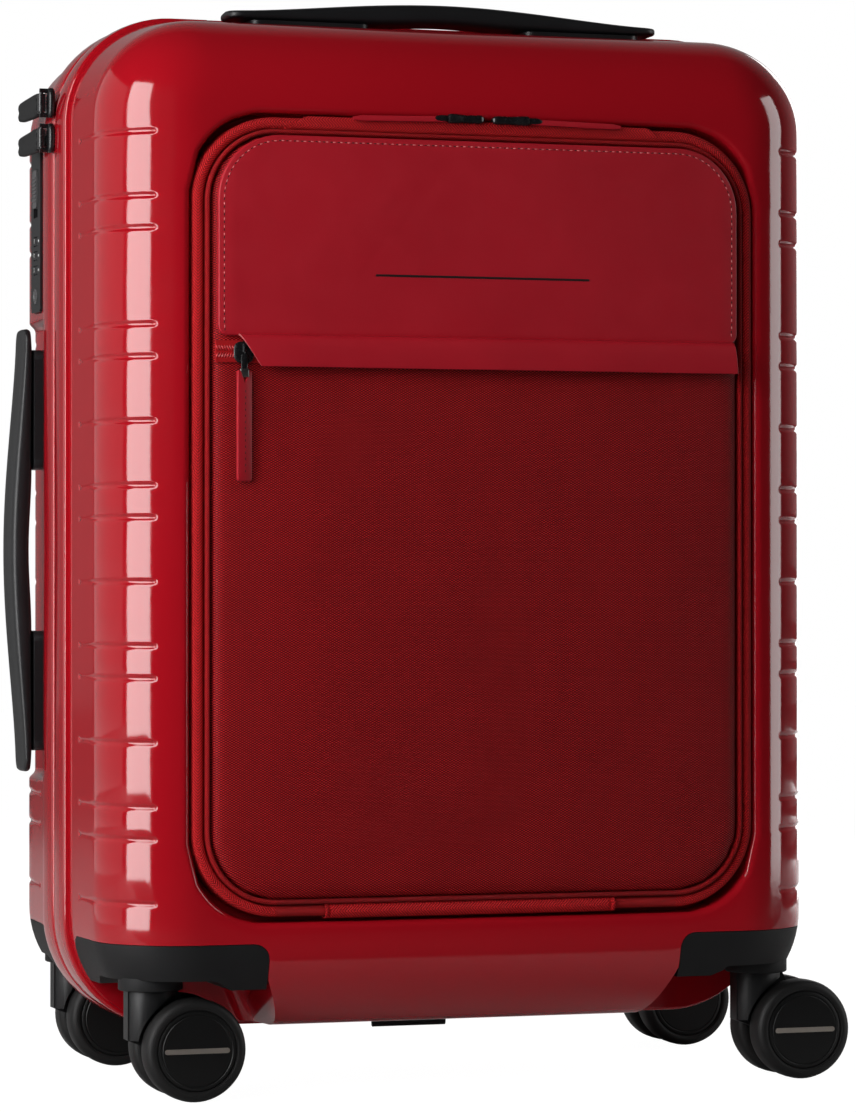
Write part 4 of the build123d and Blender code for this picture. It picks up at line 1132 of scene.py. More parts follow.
TOOTH_PITCH = 1.35 * MM
TOOTH_SIZE = (1.75 * MM, 0.55 * MM, 0.5 * MM, 1)
TOOTH_SLANT = math.radians(62)
TOOTH_FACE = -117.45 * MM
TOOTH_ROWS = {-1: 366.25 * MM, 1: 369.75 * MM}
tooth_mesh = bmesh.new()
for number in range(int((SMALL_RIGHT - SMALL_LEFT) / TOOTH_PITCH)):
    x = SMALL_LEFT + TOOTH_PITCH * (number + 0.5)
    for side, level in TOOTH_ROWS.items():
        seat = Matrix.Translation((x, TOOTH_FACE, level))
        stand = seat @ Matrix.Rotation(TOOTH_SLANT * side, 4, "Y") @ Matrix.Diagonal(TOOTH_SIZE)
        bmesh.ops.create_uvsphere(tooth_mesh, u_segments=6, v_segments=4, radius=1.0, matrix=stand)
teeth = solid_piece("small_zip_teeth", tooth_mesh)
fitted(teeth, zip_teeth, "pocket_door", 80)

slider_black = mottled("slider_black", srgb(12, 12, 13), srgb(30, 30, 32), (200.0, 2.0), (500.0, 3.0),
                       (0.16, 0.2), IOR=1.5, Metallic=0.2)

PULL_X = -123.4 * MM
PIVOT_Y = -119.6 * MM


def joined(mesh, other):
    """Adds another mesh to this one."""
    data = bpy.data.meshes.new("joined")
    other.to_mesh(data)
    other.free()
    mesh.from_mesh(data)
    bpy.data.meshes.remove(data)


def rod(mesh, path, radius, sides=8):
    """Round bar along a line of points, closed at both ends."""
    rings = []
    for number, spot in enumerate(path):
        before = path[max(0, number - 1)]
        after = path[min(len(path) - 1, number + 1)]
        turn = (Vector(after) - Vector(before)).to_track_quat("Z", "Y").to_matrix()
        angles = [2 * math.pi * side / sides for side in range(sides)]
        rings.append([Vector(spot) + turn @ Vector((math.cos(angle), math.sin(angle), 0)) * radius
                      for angle in angles])
    skinned(mesh, rings)


def squarish(value, power):
    """Signed power, which makes a circle's section squarer."""
    return math.copysign(abs(value) ** power, value)


def squared_ring(middle, first, second, power, sides=16):
    """Ring of points round a middle, squarer than an ellipse, spanned by two half axes."""
    ring = []
    for side in range(sides):
        turn = 2 * math.pi * side / sides
        ring.append(Vector(middle) + Vector(first) * squarish(math.cos(turn), power)
                    + Vector(second) * squarish(math.sin(turn), power))
    return ring


SLIDER_HEIGHT = 367.6
SLIDER_DOME = ((118.1, 0.9), (118.3, 1), (118.9, 1), (119.3, 0.9), (119.55, 0.7), (119.65, 0.4))
slider_mesh = bmesh.new()
skinned(slider_mesh, [squared_ring((PULL_X, -y * MM, SLIDER_HEIGHT * MM), (5 * size * MM, 0, 0),
                                   (0, 0, 5.4 * size * MM), 0.7, 24) for y, size in SLIDER_DOME])
bridge_path = []
for step in range(9):
    turn = math.radians(180 * step / 8)
    bridge_path.append((PULL_X, -(119.2 + math.sin(turn)) * MM, (SLIDER_HEIGHT - 4 * math.cos(turn)) * MM))
rod(slider_mesh, bridge_path, 0.8 * MM)
TONGUE = ((366.6, 120.1, 1.5, 0.6), (365, 120.3, 1.9, 0.7), (361, 120.1, 1.7, 0.7), (358.6, 119.7, 1.35, 0.7),
          (357.4, 119.6, 1.1, 0.6))
skinned(slider_mesh, [squared_ring((PULL_X, -y * MM, z * MM), (wide * MM, 0, 0), (0, thick * MM, 0), 0.6)
                      for z, y, wide, thick in TONGUE])
slider = solid_piece("small_zip_slider_body", slider_mesh)
fitted(slider, slider_black, "small_zip", 40, "small_zip_slider")

PULL_HALF = 4 * MM
PULL_BACK = 118.5 * MM
PULL_FRONT = 120.6 * MM
PULL_TWIST = math.radians(14)
PULL_SIDE = [(0, 352.8), (-0.5, 358.2), (-0.72, 358.9), (-0.95, 358.4), (-1, 357.2), (-1, 306.4),
             (-0.97, 305.4), (-0.88, 304.8), (-0.6, 304.5)]
pull_points = PULL_SIDE + [(-x, z) for x, z in reversed(PULL_SIDE[1:])]
pull_mesh = bmesh.new()
pull_face = pull_mesh.faces.new([pull_mesh.verts.new((PULL_X + x * PULL_HALF, -PULL_BACK, z * MM))
                                 for x, z in pull_points])
drawn_out(pull_mesh, [pull_face], PULL_BACK - PULL_FRONT)
flat_edges = [edge for edge in pull_mesh.edges if abs(edge.verts[0].co.y - edge.verts[1].co.y) < CLOSE]
rounded(pull_mesh, flat_edges, 0.35 * MM, 2)
bmesh.ops.rotate(pull_mesh, cent=(PULL_X, PIVOT_Y, 0), matrix=Matrix.Rotation(PULL_TWIST, 3, "Z"),
                 verts=pull_mesh.verts[:])
pull = solid_piece("small_zip_leather_pull", pull_mesh)
fitted(pull, leather, "small_pull", 50, "small_zip_pull")


def pull_face_at(x, z):
    """How far forward the twisted pull's face lies."""
    return -PIVOT_Y + (PULL_FRONT + PIVOT_Y) / math.cos(PULL_TWIST) - (x - PULL_X) * math.tan(PULL_TWIST)


pull_seam = [Vector((PULL_X + 0.4 * MM, 0, z * MM)) for z in (350, 308)]
stitches("small_pull_seam", pull_seam, 3 * MM, 1.5 * MM, 0.4 * MM, pull_face_at, "small_pull", stitch_hole_shade_and_dark_thread)

crimp_metal = mottled("crimp_metal", srgb(96, 94, 94), srgb(142, 140, 138), (900.0, 3.0), (900.0, 3.0),
                      (0.28, 0.2), Metallic=1.0)
CRIMP_SPACE = ((PULL_X - 2.3 * MM, -120.9 * MM, 355.4 * MM), (PULL_X + 2.3 * MM, -118.3 * MM, 359.6 * MM))
crimp_mesh = boxed(*CRIMP_SPACE)
rounded(crimp_mesh, crimp_mesh.edges[:], 0.6 * MM, 3)
crimp = solid_piece("small_pull_crimp", crimp_mesh)
fitted(crimp, crimp_metal, "small_pull", 40)

# Pocket sliders
# Two black sliders meet in the middle of the pocket's top edge, on the zip tape that the door carries there.
# Each has a slim leather pull that lies outwards along the edge.

ZIP_EDGE_HALF = 101 * MM
ZIP_EDGE_TAPER = 12 * MM
ZIP_EDGE_LEAST = 0.3
ZIP_EDGE_PATH = ((478.25, 107.4), (478.3, 109.6), (478.5, 110.8), (479.1, 111.8), (480.2, 112.4),
                 (481.6, 112.6), (483.2, 112.6), (484.8, 112.6))


def along_path(path, share):
    """Point at a share of a line of points, counted in its stretches."""
    number = min(int(share * (len(path) - 1)), len(path) - 2)
    part = share * (len(path) - 1) - number
    return [before + (after - before) * part for before, after in zip(path[number], path[number + 1])]


tape_rows = []
for step in range(101):
    x = ZIP_EDGE_HALF * (step / 50 - 1)
    reach = ZIP_EDGE_LEAST + (1 - ZIP_EDGE_LEAST) * ease(0, ZIP_EDGE_TAPER, ZIP_EDGE_HALF - abs(x))
    row = [along_path(ZIP_EDGE_PATH, reach * part / 14) for part in range(15)]
    tape_rows.append([(x, -y * MM, z * MM) for z, y in row])
edge_mesh = bmesh.new()
laid(edge_mesh, tape_rows)
zip_edge = solid_piece("door_zip_edge", edge_mesh)
thickened(zip_edge, 0.25 * MM)
fitted(zip_edge, band_cloth, "pocket_door", 70)

SLIDER_BACK = 112.8
SLIDER_Z = 485.8
SLIDER_BOW = ((-9.6, 0.5, 115.2), (-9.3, 1.2, 115.8), (-8.4, 1.9, 116.6), (-6.5, 2.15, 117.0),
              (-3.5, 2.1, 116.4), (-0.5, 2.0, 115.8), (2.5, 2.15, 116.5), (5.5, 2.4, 117.4),
              (8.2, 2.45, 117.6), (9.2, 2.2, 117.3), (9.6, 1.5, 116.6))
PULL_POINT = ((9.2, 1.3, 115.9), (10.5, 1.7, 116.5), (13, 1.75, 116.6), (15.5, 1.3, 116.5),
              (16.5, 0.5, 116.2))
TAIL_FROM = 11
TAIL_TO = 58.6
TAIL_HALF = 1.45
for name, middle, side in (("left", -7.8, -1), ("right", 15.6, 1)):
    body_mesh = bmesh.new()
    for stations in (SLIDER_BOW, PULL_POINT):
        rings = []
        for along, tall, front in stations:
            spot = ((middle + side * along) * MM, -(front + SLIDER_BACK) / 2 * MM, SLIDER_Z * MM)
            rings.append(squared_ring(spot, (0, (front - SLIDER_BACK) / 2 * MM, 0), (0, 0, tall * MM), 0.65))
        skinned(body_mesh, rings)
    body = solid_piece(f"pocket_slider_{name}_body", body_mesh)
    fitted(body, slider_black, f"pocket_zip_{name}", 40, f"pocket_slider_{name}")
    tail_rings = []
    for step in range(13):
        share = step / 12
        along = TAIL_FROM + (TAIL_TO - TAIL_FROM) * share
        tall = TAIL_HALF * (1 - 0.5 * ease(0.97, 1, share))
        spot = ((middle + side * along) * MM, -114.9 * MM, (SLIDER_Z - 0.4 - 1.0 * share) * MM)
        tail_rings.append(squared_ring(spot, (0, 1.2 * MM, 0), (0, 0, tall * MM), 0.4))
    tail_mesh = bmesh.new()
    skinned(tail_mesh, tail_rings)
    tail = solid_piece(f"pocket_slider_{name}_pull", tail_mesh)
    fitted(tail, leather, f"pocket_zip_{name}", 50)

# Carry handles
# Each handle is a moulded bar of black plastic, arched above and below, with rounded tips and a soft ridge
# along its top. It lifts on two posts in end plates, which are screwed down in a recess of the shell.

black_plastic, shader, start = finish("black_plastic", IOR=1.46, Specular_IOR_Level=0.4)
place = place_of(start)
grain = noise(start, place, 1100.0, 3.0)
wear = noise(start, place, 35.0, 4.0)
feed(shader, "Base Color", two_tone(start, wear, srgb(16, 16, 17), srgb(26, 26, 28)))
feed(shader, "Roughness", 0.3 + 0.14 * grain + 0.08 * wear)
feed(shader, "Normal", bump(start, grain, 0.12, 0.2 * MM))

HANDLE_HALF = 115 * MM
HANDLE_MIDDLE = 50 * MM
HANDLE_REACH = 12.5 * MM
HANDLE_SEAT = 12.5 * MM
HANDLE_ARCH = 1.5 * MM
HANDLE_ARCH_HALF = 42 * MM
HANDLE_TIP = 17 * MM
HANDLE_RISE = 7 * MM
HANDLE_RIDGE = 0.7 * MM
TIP_ROUND = 7 * MM
TIP_EDGE = 1.9 * MM
POST_AT = 73 * MM
POST_LOW = -20 * MM
SECTION_SIDES = 32


def corner_loss(along, end, radius):
    """How much a rounded end takes off beside a place along the bar."""
    past = max(0.0, abs(along) - (end - radius))
    return radius - math.sqrt(max(0.0, radius ** 2 - past ** 2))


def bar_section(along):
    """Half width, underside and top of the handle bar at a place along it."""
    swing = 0.5 + 0.5 * math.cos(math.pi * along / HANDLE_HALF)
    top = HANDLE_TIP + HANDLE_RISE * swing ** 0.79
    under = HANDLE_SEAT
    if abs(along) < HANDLE_ARCH_HALF:
        under += HANDLE_ARCH * (0.5 + 0.5 * math.cos(math.pi * along / HANDLE_ARCH_HALF))
    under += 0.6 * MM * ease(98 * MM, 112 * MM, abs(along))
    edge = corner_loss(along, HANDLE_HALF, TIP_EDGE)
    return HANDLE_REACH - corner_loss(along, HANDLE_HALF, TIP_ROUND), under + edge, top - edge


def carry_bar(place):
    """Handle bar and posts: place turns along, across and up into a point of the case."""
    mesh = bmesh.new()
    near_tip = [HANDLE_HALF - offset * MM for offset in (0, 0.15, 0.5, 1.0, 1.6, 2.4, 3.6, 5, 7)]
    inner = [step * 6 * MM for step in range(-17, 18)]
    stations = sorted([-along for along in near_tip] + inner + near_tip)
    rings = []
    for along in stations:
        reach, under, top = bar_section(along)
        ring = []
        for side in range(SECTION_SIDES):
            turn = 2 * math.pi * side / SECTION_SIDES
            across = reach * squarish(math.cos(turn), 0.42)
            height = squarish(math.sin(turn), 0.5)
            up = (under + top) / 2 + height * (top - under) / 2
            up += HANDLE_RIDGE * max(0.0, height) * (1 - abs(across) / reach)
            ring.append(place(along, across, up))
        rings.append(ring)
    skinned(mesh, rings)
    for side in (-1, 1):
        foot = place(side * POST_AT, 0, POST_LOW)
        rod(mesh, [foot, place(side * POST_AT, 0, POST_LOW + 3 * MM)], 7 * MM, 20)
        rod(mesh, [foot, place(side * POST_AT, 0, HANDLE_SEAT + MM)], 4 * MM, 20)
    return mesh


def on_top(along, across, up):
    return Vector((along, across - HANDLE_MIDDLE, TOP_FLOOR + up))


def on_side(along, across, up):
    return Vector((-SIDE_FLOOR - up, HANDLE_MIDDLE + across, SIDE_HANDLE_HEIGHT + along))


for name, place in (("top", on_top), ("side", on_side)):
    bar = solid_piece(f"{name}_handle_bar", carry_bar(place))
    fitted(bar, black_plastic, f"{name}_carry", 45, f"{name}_handle")


def dressed(name, material, soften=0.0):
    """Gives a part that keeps its solid shape its finish, and softens its edges by the given width."""
    node = nodes[name]
    node.data.materials.clear()
    node.data.materials.append(material)
    if soften:
        weld = node.modifiers.new("weld", "WELD")
        weld.merge_threshold = 0.01 * MM
        edges = node.modifiers.new("edges", "BEVEL")
        edges.width = soften
        edges.segments = 2
        edges.limit_method = "ANGLE"
        edges.angle_limit = math.radians(50)
        edges.harden_normals = False


dressed("top_handle_plates", black_plastic, 0.8 * MM)
dressed("side_handle_plates", black_plastic, 0.8 * MM)

# Corner guards
# Moulded guards of rough black plastic fill the top of each wheel well, flush with the shell, and carry the
# caster's bearing in a round collar below.

guard_plastic = mottled("guard_plastic", srgb(10, 10, 11), srgb(20, 20, 21), (50.0, 5.0), (1600.0, 3.0),
                        (0.5, 0.2), 0.3, IOR=1.46, Specular_IOR_Level=0.28)

GUARD_GAP = 0.3 * MM
GUARD_LOW = 60 * MM
GUARD_TOE = 55 * MM
GUARD_TOE_LONG = 16 * MM
GUARD_TOE_SLOPE = 9 * MM
STEM_X = 161 * MM
STEM_Y = 82 * MM


def spun(mesh, points, middle, axis, steps):
    """Round part that a line of points makes when it goes once round an axis."""
    line = [mesh.verts.new(point) for point in points]
    edges = [mesh.edges.new(pair) for pair in zip(line, line[1:])]
    bmesh.ops.spin(mesh, geom=line + edges, cent=middle, axis=axis, dvec=(0, 0, 0), angle=2 * math.pi,
                   steps=steps, use_merge=True, use_duplicate=False)


COLLAR_OUTLINE = ((0, 57.2), (13.4, 57.2), (13.4, 54.7), (13.7, 54.4), (15.3, 54.4), (15.8, 54.7), (16, 55.2),
                  (16, 61))
COLLAR_SIDES = 40
UNDER_ROUND = 3.5 * MM
for end, facing, depth in (("front", -1, FRONT_DEPTH), ("rear", 1, REAR_DEPTH)):
    for hand, side in (("left", -1), ("right", 1)):
        guard = solid_piece(f"{end}_guard_{hand}_moulding", half_shell(depth, facing))
        near = (side * (WELL_WALL + GUARD_GAP), facing * (WELL_REACH + GUARD_GAP))
        low = [min(near[0], side * FAR), min(near[1], facing * FAR), GUARD_TOE]
        high = [max(near[0], side * FAR), max(near[1], facing * FAR), WELL_TOP - GUARD_GAP]
        block = boxed(low, high)
        inner_edges = []
        for edge in block.edges:
            at_wall = all(abs(vert.co.x - near[0]) < CLOSE for vert in edge.verts)
            at_back = all(abs(vert.co.y - near[1]) < CLOSE for vert in edge.verts)
            at_top = all(vert.co.z > WELL_TOP - MM for vert in edge.verts)
            if at_wall + at_back + at_top >= 2:
                inner_edges.append(edge)
        rounded(block, inner_edges, WELL_ROUND - GUARD_GAP, 6)
        cut(guard, [block], "INTERSECT")
        open_x = near[0] + side * GUARD_TOE_LONG
        open_y = near[1] + facing * GUARD_TOE_LONG
        under = boxed((min(open_x, side * FAR), min(open_y, facing * FAR), GUARD_TOE - MM),
                      (max(open_x, side * FAR), max(open_y, facing * FAR), GUARD_LOW))
        for vert in under.verts:
            if vert.co.z > GUARD_LOW - MM:
                vert.co.x += side * GUARD_TOE_SLOPE if abs(vert.co.x - open_x) < CLOSE else 0
                vert.co.y += facing * GUARD_TOE_SLOPE if abs(vert.co.y - open_y) < CLOSE else 0
        under_rim = [edge for edge in under.edges if all(vert.co.z > GUARD_LOW - MM for vert in edge.verts)]
        rounded(under, under_rim, UNDER_ROUND, 5)
        cut(guard, [under])
        mesh = bmesh.new()
        mesh.from_mesh(guard.data)
        for face in mesh.faces:
            face.material_index = 0
        stem_x, stem_y = side * STEM_X, facing * STEM_Y
        collar = [(stem_x + radius * MM, stem_y, height * MM) for radius, height in COLLAR_OUTLINE]
        spun(mesh, collar, (stem_x, stem_y, 0), (0, 0, 1), COLLAR_SIDES)
        bmesh.ops.recalc_face_normals(mesh, faces=mesh.faces[:])
        mesh.to_mesh(guard.data)
        mesh.free()
        fitted(guard, guard_plastic, f"{end}_half", 35, f"{end}_guard_{hand}")

# Casters
# Each caster has a moulded fork on a swivel spindle and a steel axle with a wheel at either end. A wheel is a
# soft tyre moulded on a hub, closed by a snapped-in cap, with a plain metal bar where it faces out.

fork_plastic = mottled("fork_plastic", srgb(12, 12, 13), srgb(22, 22, 23), (60.0, 3.0), (1300.0, 3.0),
                       (0.38, 0.16), 0.2, IOR=1.46, Specular_IOR_Level=0.35)
hub_plastic = mottled("hub_plastic", srgb(7, 7, 7), srgb(14, 14, 14), (90.0, 3.0), (900.0, 3.0), (0.32, 0.2),
                      IOR=1.46, Specular_IOR_Level=0.25)


def brushed(name, dark, light, direction, scale, distortion, rough):
    """Metal with fine lines, which also change its roughness."""
    material, shader, start = finish(name, Metallic=1.0)
    lines = start.add("ShaderNodeTexWave", {"bands_direction": direction},
                      {"Vector": place_of(start), "Scale": scale, "Distortion": distortion})
    feed(shader, "Base Color", two_tone(start, lines, dark, light))
    feed(shader, "Roughness", rough[0] + rough[1] * lines)
    return material


axle_steel = brushed("axle_steel", srgb(150, 150, 150), srgb(188, 188, 188), "Y", 700.0, 2.0, (0.25, 0.15))
bar_metal = brushed("bar_metal", srgb(150, 142, 134), srgb(190, 182, 172), "Z", 900.0, 1.5, (0.3, 0.18))

wheel_rubber, shader, start = finish("wheel_rubber", IOR=1.5, Specular_IOR_Level=0.25)
place = place_of(start)
dust = noise(start, place, 70.0, 5.0)
fine = noise(start, place, 1500.0, 2.0)
feed(shader, "Base Color", two_tone(start, dust, srgb(9, 9, 9), srgb(20, 19, 19)))
feed(shader, "Roughness", 0.46 + 0.2 * dust)
feed(shader, "Normal", bump(start, fine, 0.15, 0.2 * MM))

TRAIL = 18.5 * MM
WHEEL_R = 25.5 * MM
WHEEL_SIDES = 64
TYRE_OUTLINE = ((20.2, 5.2), (21.8, 5.25), (23.6, 5.9), (24.9, 7.2), (25.4, 9.2), (25.5, 13.4), (25.4, 17.6),
                (24.9, 19.5), (23.8, 20.8), (22.4, 21.4), (21.2, 21.5), (20.8, 21.35), (20.7, 20.9),
                (20.1, 20.8))
HUB_OUTLINE = ((3.1, 18), (3.1, 5.4), (18.6, 5.4), (20.2, 5.2))
CAP_OUTLINE = ((20.1, 20.2), (19.8, 20.3), (19.6, 20.8), (19.2, 21.05), (18.2, 21.15), (17.9, 20.9),
               (17.5, 20.9), (17.2, 21.15), (10, 21.3), (0, 21.35))
BAR_HALF = 16.4 * MM
BAR_HIGH = 1.25 * MM
BAR_FACE = 21 * MM
BAR_THICK = 0.55 * MM

for end, stem_y in (("front", -STEM_Y), ("rear", STEM_Y)):
    for hand, stem_x in (("left", -STEM_X), ("right", STEM_X)):
        dressed(f"fork_{end}_{hand}", fork_plastic, 0.7 * MM)
        dressed(f"axle_{end}_{hand}", axle_steel)
        for which, facing in (("a", -1), ("b", 1)):
            axis_x = stem_x + TRAIL
            mesh = bmesh.new()
            for outline, look in ((TYRE_OUTLINE, 0), (HUB_OUTLINE, 1), (CAP_OUTLINE, 1)):
                before = set(mesh.faces)
                line = [(axis_x, stem_y + facing * out * MM, WHEEL_R + radius * MM)
                        for radius, out in outline]
                spun(mesh, line, (axis_x, 0, WHEEL_R), (0, 1, 0), WHEEL_SIDES)
                for face in mesh.faces:
                    if face not in before:
                        face.material_index = look
            bmesh.ops.remove_doubles(mesh, verts=mesh.verts[:], dist=CLOSE)
            bmesh.ops.recalc_face_normals(mesh, faces=mesh.faces[:])
            if facing * stem_y > 0:
                face_y = stem_y + facing * BAR_FACE
                bar = boxed((axis_x - BAR_HALF, face_y - BAR_THICK, WHEEL_R - BAR_HIGH),
                            (axis_x + BAR_HALF, face_y + BAR_THICK, WHEEL_R + BAR_HIGH))
                rounded(bar, edges_along(bar, 1), BAR_HIGH * 0.98, 5)
                for face in bar.faces:
                    face.material_index = 2
                joined(mesh, bar)
            wheel = solid_piece(f"wheel_{end}_{hand}_{which}_tyre", mesh)
            for look in (wheel_rubber, hub_plastic, bar_metal):
                wheel.data.materials.append(look)
            smooth(wheel, 35)
            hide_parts(f"wheel_{end}_{hand}_{which}")
            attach(wheel, f"wheel_{end}_{hand}_{which}")

# Combination lock
# Case plate of black plastic in the side of the rear shell, with three numbered dials, a ribbed release slide
# and a plain key cylinder below.

LOCK_MIDDLE = 49.25 * MM
LOCK_FACE = -189.9 * MM
dressed("lock_case", black_plastic, 0.6 * MM)

white_ink = mottled("white_ink", srgb(205, 205, 203), srgb(238, 238, 236), (800.0, 2.0), Roughness=0.5)
lock_grey = mottled("lock_grey", srgb(58, 57, 58), srgb(84, 83, 84), (300.0, 2.0), (1200.0, 3.0), (0.4, 0.2),
                    IOR=1.46)

DIAL_X = -181.6 * MM
DIAL_R = 9 * MM
DIAL_HALF = 2.2 * MM
DIAL_TEETH = 30
DIAL_LEVELS = [(418 + 7.5 * number) * MM for number in range(3)]
DIGIT_SIZE = 3.3 * MM
DIGIT_PROUD = 0.06 * MM


def digit_mesh(digit):
    """Flat numeral, centred, in the XY plane."""
    text = bpy.data.curves.new("digit", "FONT")
    text.body = str(digit)
    text.size = DIGIT_SIZE
    text.align_x = "CENTER"
    text.align_y = "CENTER"
    text.resolution_u = 3
    holder = bpy.data.objects.new("digit", text)
    bpy.context.scene.collection.objects.link(holder)
    graph = bpy.context.evaluated_depsgraph_get()
    graph.update()
    data = bpy.data.meshes.new_from_object(holder.evaluated_get(graph))
    bpy.data.objects.remove(holder)
    bpy.data.curves.remove(text)
    return data


digits = [digit_mesh(digit) for digit in range(10)]
for number, level in enumerate(DIAL_LEVELS):
    mesh = bmesh.new()
    rings = []
    for height, size in ((-1, 0.93), (-0.82, 1), (0.82, 1), (1, 0.93)):
        ring = []
        for tooth in range(2 * DIAL_TEETH):
            turn = math.pi * tooth / DIAL_TEETH
            reach = DIAL_R * size * (1 - 0.03 * (tooth % 2))
            ring.append((DIAL_X - reach * math.cos(turn), LOCK_MIDDLE + reach * math.sin(turn),
                         level + height * DIAL_HALF))
        rings.append(ring)
    skinned(mesh, rings)
    plain_faces = len(mesh.faces)
    for digit, data in enumerate(digits):
        first = len(mesh.verts)
        mesh.from_mesh(data)
        mesh.verts.ensure_lookup_table()
        turn = Matrix.Rotation(math.radians(36 * digit), 4, "Z")
        upright = Matrix.Rotation(math.radians(-90), 4, "Z") @ Matrix.Rotation(math.radians(90), 4, "X")
        stand = Matrix.Translation((-DIAL_R - DIGIT_PROUD, 0, 0)) @ upright
        bmesh.ops.transform(mesh, matrix=Matrix.Translation((DIAL_X, LOCK_MIDDLE, level)) @ turn @ stand,
                            verts=mesh.verts[first:])
    for order, face in enumerate(mesh.faces):
        face.material_index = 0 if order < plain_faces else 1
    dial = solid_piece(f"lock_dial_{number + 1}_wheel", mesh)
    dial.data.materials.append(black_plastic)
    dial.data.materials.append(white_ink)
    smooth(dial, 20)
    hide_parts(f"lock_dial_{number + 1}")
    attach(dial, f"dial_{number + 1}")

dot_mesh = bmesh.new()
for level in DIAL_LEVELS:
    seat = Matrix.Translation((LOCK_FACE, LOCK_MIDDLE - 6.9 * MM, level))
    bmesh.ops.create_uvsphere(dot_mesh, u_segments=12, v_segments=6, radius=1.0,
                              matrix=seat @ Matrix.Diagonal((0.15 * MM, 0.75 * MM, 0.75 * MM, 1)))
dots = solid_piece("lock_index_dots", dot_mesh)
fitted(dots, white_ink, "rear_half", 60)

RELEASE_SPACE = ((-190.6 * MM, 44.85 * MM, 450.3 * MM), (-187.3 * MM, 53.65 * MM, 470.1 * MM))
release_mesh = boxed(*RELEASE_SPACE)
rounded(release_mesh, edges_along(release_mesh, 0), 1.6 * MM, 4)
for number in range(7):
    z = (454 + 2 * number) * MM
    rib = boxed((-191.2 * MM, 45.6 * MM, z - 0.5 * MM), (-190.2 * MM, 52.9 * MM, z + 0.5 * MM))
    rounded(rib, edges_along(rib, 1), 0.4 * MM, 2)
    joined(release_mesh, rib)
release = solid_piece("lock_release_slide_ribbed", release_mesh)
fitted(release, lock_grey, "release", 40, "lock_release")

KEY_HEIGHT = 404.5 * MM
KEY_SIDES = 32
KEY_OUTLINE = ((4.2, 0), (4.2, 0.35), (3.9, 0.55), (3.3, 0.55), (3.1, 0.25), (0, 0.2))
key_mesh = bmesh.new()
key_line = [(LOCK_FACE + (0.1 - out) * MM, LOCK_MIDDLE + radius * MM, KEY_HEIGHT)
            for radius, out in KEY_OUTLINE]
spun(key_mesh, key_line, (0, LOCK_MIDDLE, KEY_HEIGHT), (1, 0, 0), KEY_SIDES)
bmesh.ops.remove_doubles(key_mesh, verts=key_mesh.verts[:], dist=CLOSE)
KEY_SLOT = ((LOCK_FACE - 0.35 * MM, LOCK_MIDDLE - 0.35 * MM, 402.4 * MM),
            (LOCK_FACE - 0.1 * MM, LOCK_MIDDLE + 0.35 * MM, 406.6 * MM))
joined(key_mesh, boxed(*KEY_SLOT))
bmesh.ops.recalc_face_normals(key_mesh, faces=key_mesh.faces[:])
key = solid_piece("lock_key_cylinder", key_mesh)
fitted(key, lock_grey, "rear_half", 35)

# Main zip sliders and pulls
# Two black sliders meet on the zip above the lock. Each carries a thick tapered pull of black rubber on a
# glossy bow, and both pulls dock over the lock case.

PIN_X = -197.6 * MM
PIN_Y = 1.0 * MM
LUG_AT = 6.2 * MM
BODY_X = -193 * MM
TAB_X = -196.7 * MM
TAB_THICK = 2.5 * MM
TAB_TALL = 6 * MM
DENT = 0.5 * MM
DENT_WIDE = 1.1 * MM
BOW_STEPS = 6
ALMOND = ((-7.5, 1.6, 0.9), (-7.1, 2.4, 1.5), (-5.5, 3.4, 1.9), (-2, 4.3, 2.1), (1.5, 4.4, 2.1),
          (5, 3.8, 1.95), (7, 2.7, 1.5), (7.5, 1.7, 0.9))
TAB_STATIONS = ((7.9, 0.72), (8.2, 0.86), (9, 0.95), (14, 0.97), (24, 0.95), (38, 0.9), (48, 0.84),
                (50.6, 0.78), (51.6, 0.66), (52, 0.48))
body_mesh = bmesh.new()
for name, z in (("lower", 482 * MM), ("upper", 500 * MM)):
    skinned(body_mesh, [squared_ring((BODY_X, 0, z + up * MM), (wide * MM, 0, 0), (0, long * MM, 0), 0.75)
                        for up, long, wide in ALMOND])
    for side in (-1, 1):
        lug = [(x, PIN_Y, z + side * LUG_AT) for x in (BODY_X, PIN_X, PIN_X - 0.9 * MM)]
        rod(body_mesh, lug, 1.2 * MM, 12)
    rod(body_mesh, [(PIN_X, PIN_Y, z - LUG_AT), (PIN_X, PIN_Y, z + LUG_AT)], 1.0 * MM, 12)
    mesh = bmesh.new()
    rings = []
    for y, size in TAB_STATIONS:
        ring = squared_ring((TAB_X, y * MM, z), (TAB_THICK * (0.5 + size / 2), 0, 0), (0, 0, TAB_TALL * size),
                            0.5, 24)
        for spot in ring:
            if spot.x < TAB_X:
                spot.x += DENT * math.exp(-((spot.z - z) / DENT_WIDE) ** 2)
        rings.append(ring)
    skinned(mesh, rings)
    tab_faces = len(mesh.faces)
    rod(mesh, [(PIN_X, PIN_Y, z - 4.5 * MM), (PIN_X, PIN_Y, z + 4.5 * MM)], 2.2 * MM, 20)
    for side in (-1, 1):
        bow = []
        for share in [step / BOW_STEPS for step in range(BOW_STEPS + 1)]:
            spread = (3.4 + 0.9 * math.sin(math.pi * share)) * MM
            bow.append((PIN_X, PIN_Y + (9 * MM - PIN_Y) * share, z + side * spread))
        rod(mesh, bow, 1.1 * MM, 12)
    for order, face in enumerate(mesh.faces):
        face.material_index = 0 if order < tab_faces else 1
    tab_pull = solid_piece(f"main_pull_{name}_tab", mesh)
    tab_pull.data.materials.append(guard_plastic)
    tab_pull.data.materials.append(slider_black)
    smooth(tab_pull, 40)
    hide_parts(f"main_pull_{name}")
    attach(tab_pull, f"pull_{name}")
main_bodies = solid_piece("main_slider_bodies", body_mesh)
fitted(main_bodies, slider_black, "rear_half", 40, "main_sliders")

